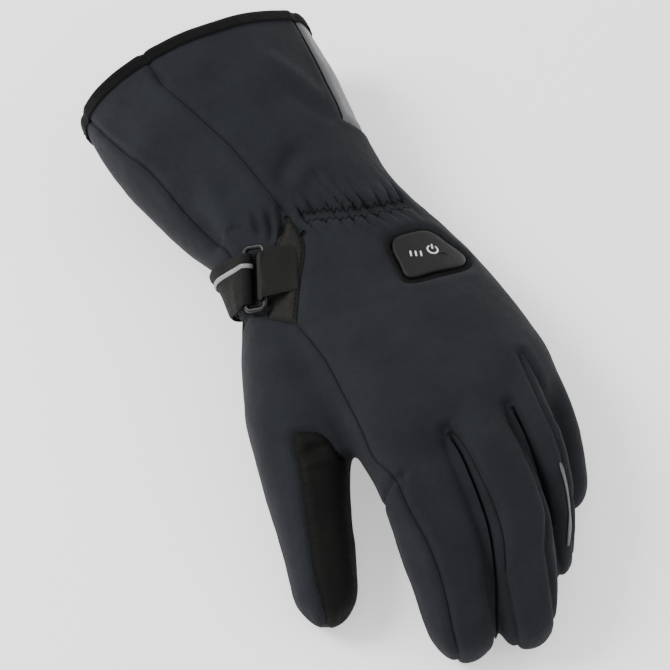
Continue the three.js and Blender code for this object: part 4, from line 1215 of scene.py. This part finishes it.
stripe_route = [turned(bar_middle, angle, 1) for angle in wrap_angles[6:]] + tail
stripe_across, stripe_lift = 0.24 * STRAP_WIDTH, STRAP_THICK / 2 + 0.1 + STRIPE_THICK / 2
stripe = np.array([station(stripe_across, -stripe_lift) for station in stripe_route])
outs = np.array([station(stripe_across, -stripe_lift - 1) for station in stripe_route]) - stripe
piping = finish_piece(
    "strap_stripe", [sweep(stripe, outs, STRIPE_WIDTH / 2, STRIPE_THICK / 2, 12)],
    "piping", "piping")
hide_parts("strap_piping")


def wire_ring():
    reach = STRAP_WIDTH / 2 + RING_PLAY + WIRE_RADIUS
    centre = (bar_middle + second_middle) / 2
    points = []
    for i, (along, across) in enumerate(((1, 1), (-1, 1), (-1, -1), (1, -1))):
        corner = (centre + ring_along * along * (RING_SPAN / 2 - CORNER_RADIUS)
                  + ring_across * across * (reach - CORNER_RADIUS))
        for turn in np.radians(np.linspace(i * 90, i * 90 + 90, 9)):
            points.append(corner + CORNER_RADIUS * (ring_along * math.cos(turn)
                                                    + ring_across * math.sin(turn)))
    return sweep(points, np.tile(ring_out, (len(points), 1)), WIRE_RADIUS, WIRE_RADIUS, 18, True)


ring = finish_piece("ring", [wire_ring()], "ring_plastic", "ring")
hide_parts("strap_ring")

keeper_top = top_of(second_middle, strap_frame(turn_after(RING_TURN, RING_SPAN)))


def along_keeper(share):
    return strap_frame(turn_after(RING_TURN, RING_SPAN + share * KEEPER_LENGTH))


keeper_path = [laid(along_keeper(share), LOW_HEIGHT + 0.1) for share in (0.5, 0.35, 0.2)]
keeper_path += [turned(second_middle, angle, -1) for angle in wrap_angles]
for share in (0.15, 0.3, 0.45, 0.6, 0.75, 0.9, 1.05, 1.18):
    down = smoothstep(share, -0.1, 1.18)
    keeper_path.append(laid(along_keeper(share), keeper_top + (-0.3 - keeper_top) * down, -1))
keeper = finish_piece("keeper", [webbing(keeper_path, KEEPER_WIDTH, STRAP_THICK)],
                      "strap_webbing", "patch")
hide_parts("ring_keeper")

# Camera, light and floor.
FOCAL_PIXELS, PHOTO_PIXELS = 3125, 670
AZIMUTH, ELEVATION, DISTANCE = math.radians(-30), math.radians(60), 1500.0
TARGET = np.array([0, 0, 35.0])
camera_data = bpy.data.cameras.new("camera")
camera_data.sensor_width = 36.0
camera_data.lens = FOCAL_PIXELS * camera_data.sensor_width / PHOTO_PIXELS
camera_data.clip_end = 20
camera = linked("camera", camera_data)
back = np.array([math.sin(AZIMUTH) * math.cos(ELEVATION), -math.cos(AZIMUTH) * math.cos(ELEVATION),
                 math.sin(ELEVATION)])
camera.location = (TARGET + back * DISTANCE + SHIFT) * MM
camera.rotation_mode = "QUATERNION"
camera.rotation_quaternion = Vector(-back).to_track_quat("-Z", "Y")
bpy.context.scene.camera = camera

floor_mesh = bpy.data.meshes.new("floor")
floor_mesh.from_pydata([(-4, -4, 0), (4, -4, 0), (4, 4, 0), (-4, 4, 0)], [], [(0, 1, 2, 3)])
floor = linked("floor", floor_mesh)
paper = bpy.data.materials.new("floor paper")
paper.use_nodes = True
feed(paper.node_tree.nodes["Principled BSDF"], {
    "Base Color": (0.95, 0.95, 0.95, 1), "Roughness": 0.9,
    "Emission Color": (1, 1, 1, 1), "Emission Strength": 0.6})
floor_mesh.materials.append(paper)

world = bpy.data.worlds.new("studio")
world.use_nodes = True
feed(world.node_tree.nodes["Background"], {"Color": (1, 1, 1, 1), "Strength": 0.95})
bpy.context.scene.world = world


def area_light(name, place, size, power):
    data = bpy.data.lights.new(name, "AREA")
    data.size = size
    data.energy = power
    light = linked(name, data)
    light.location = place
    light.rotation_mode = "QUATERNION"
    light.rotation_quaternion = (-Vector(place)).to_track_quat("-Z", "Y")


area_light("key", (-1.0, 0.9, 1.3), 0.8, 38)
area_light("fill", (1.2, -0.9, 1.3), 1.4, 8)
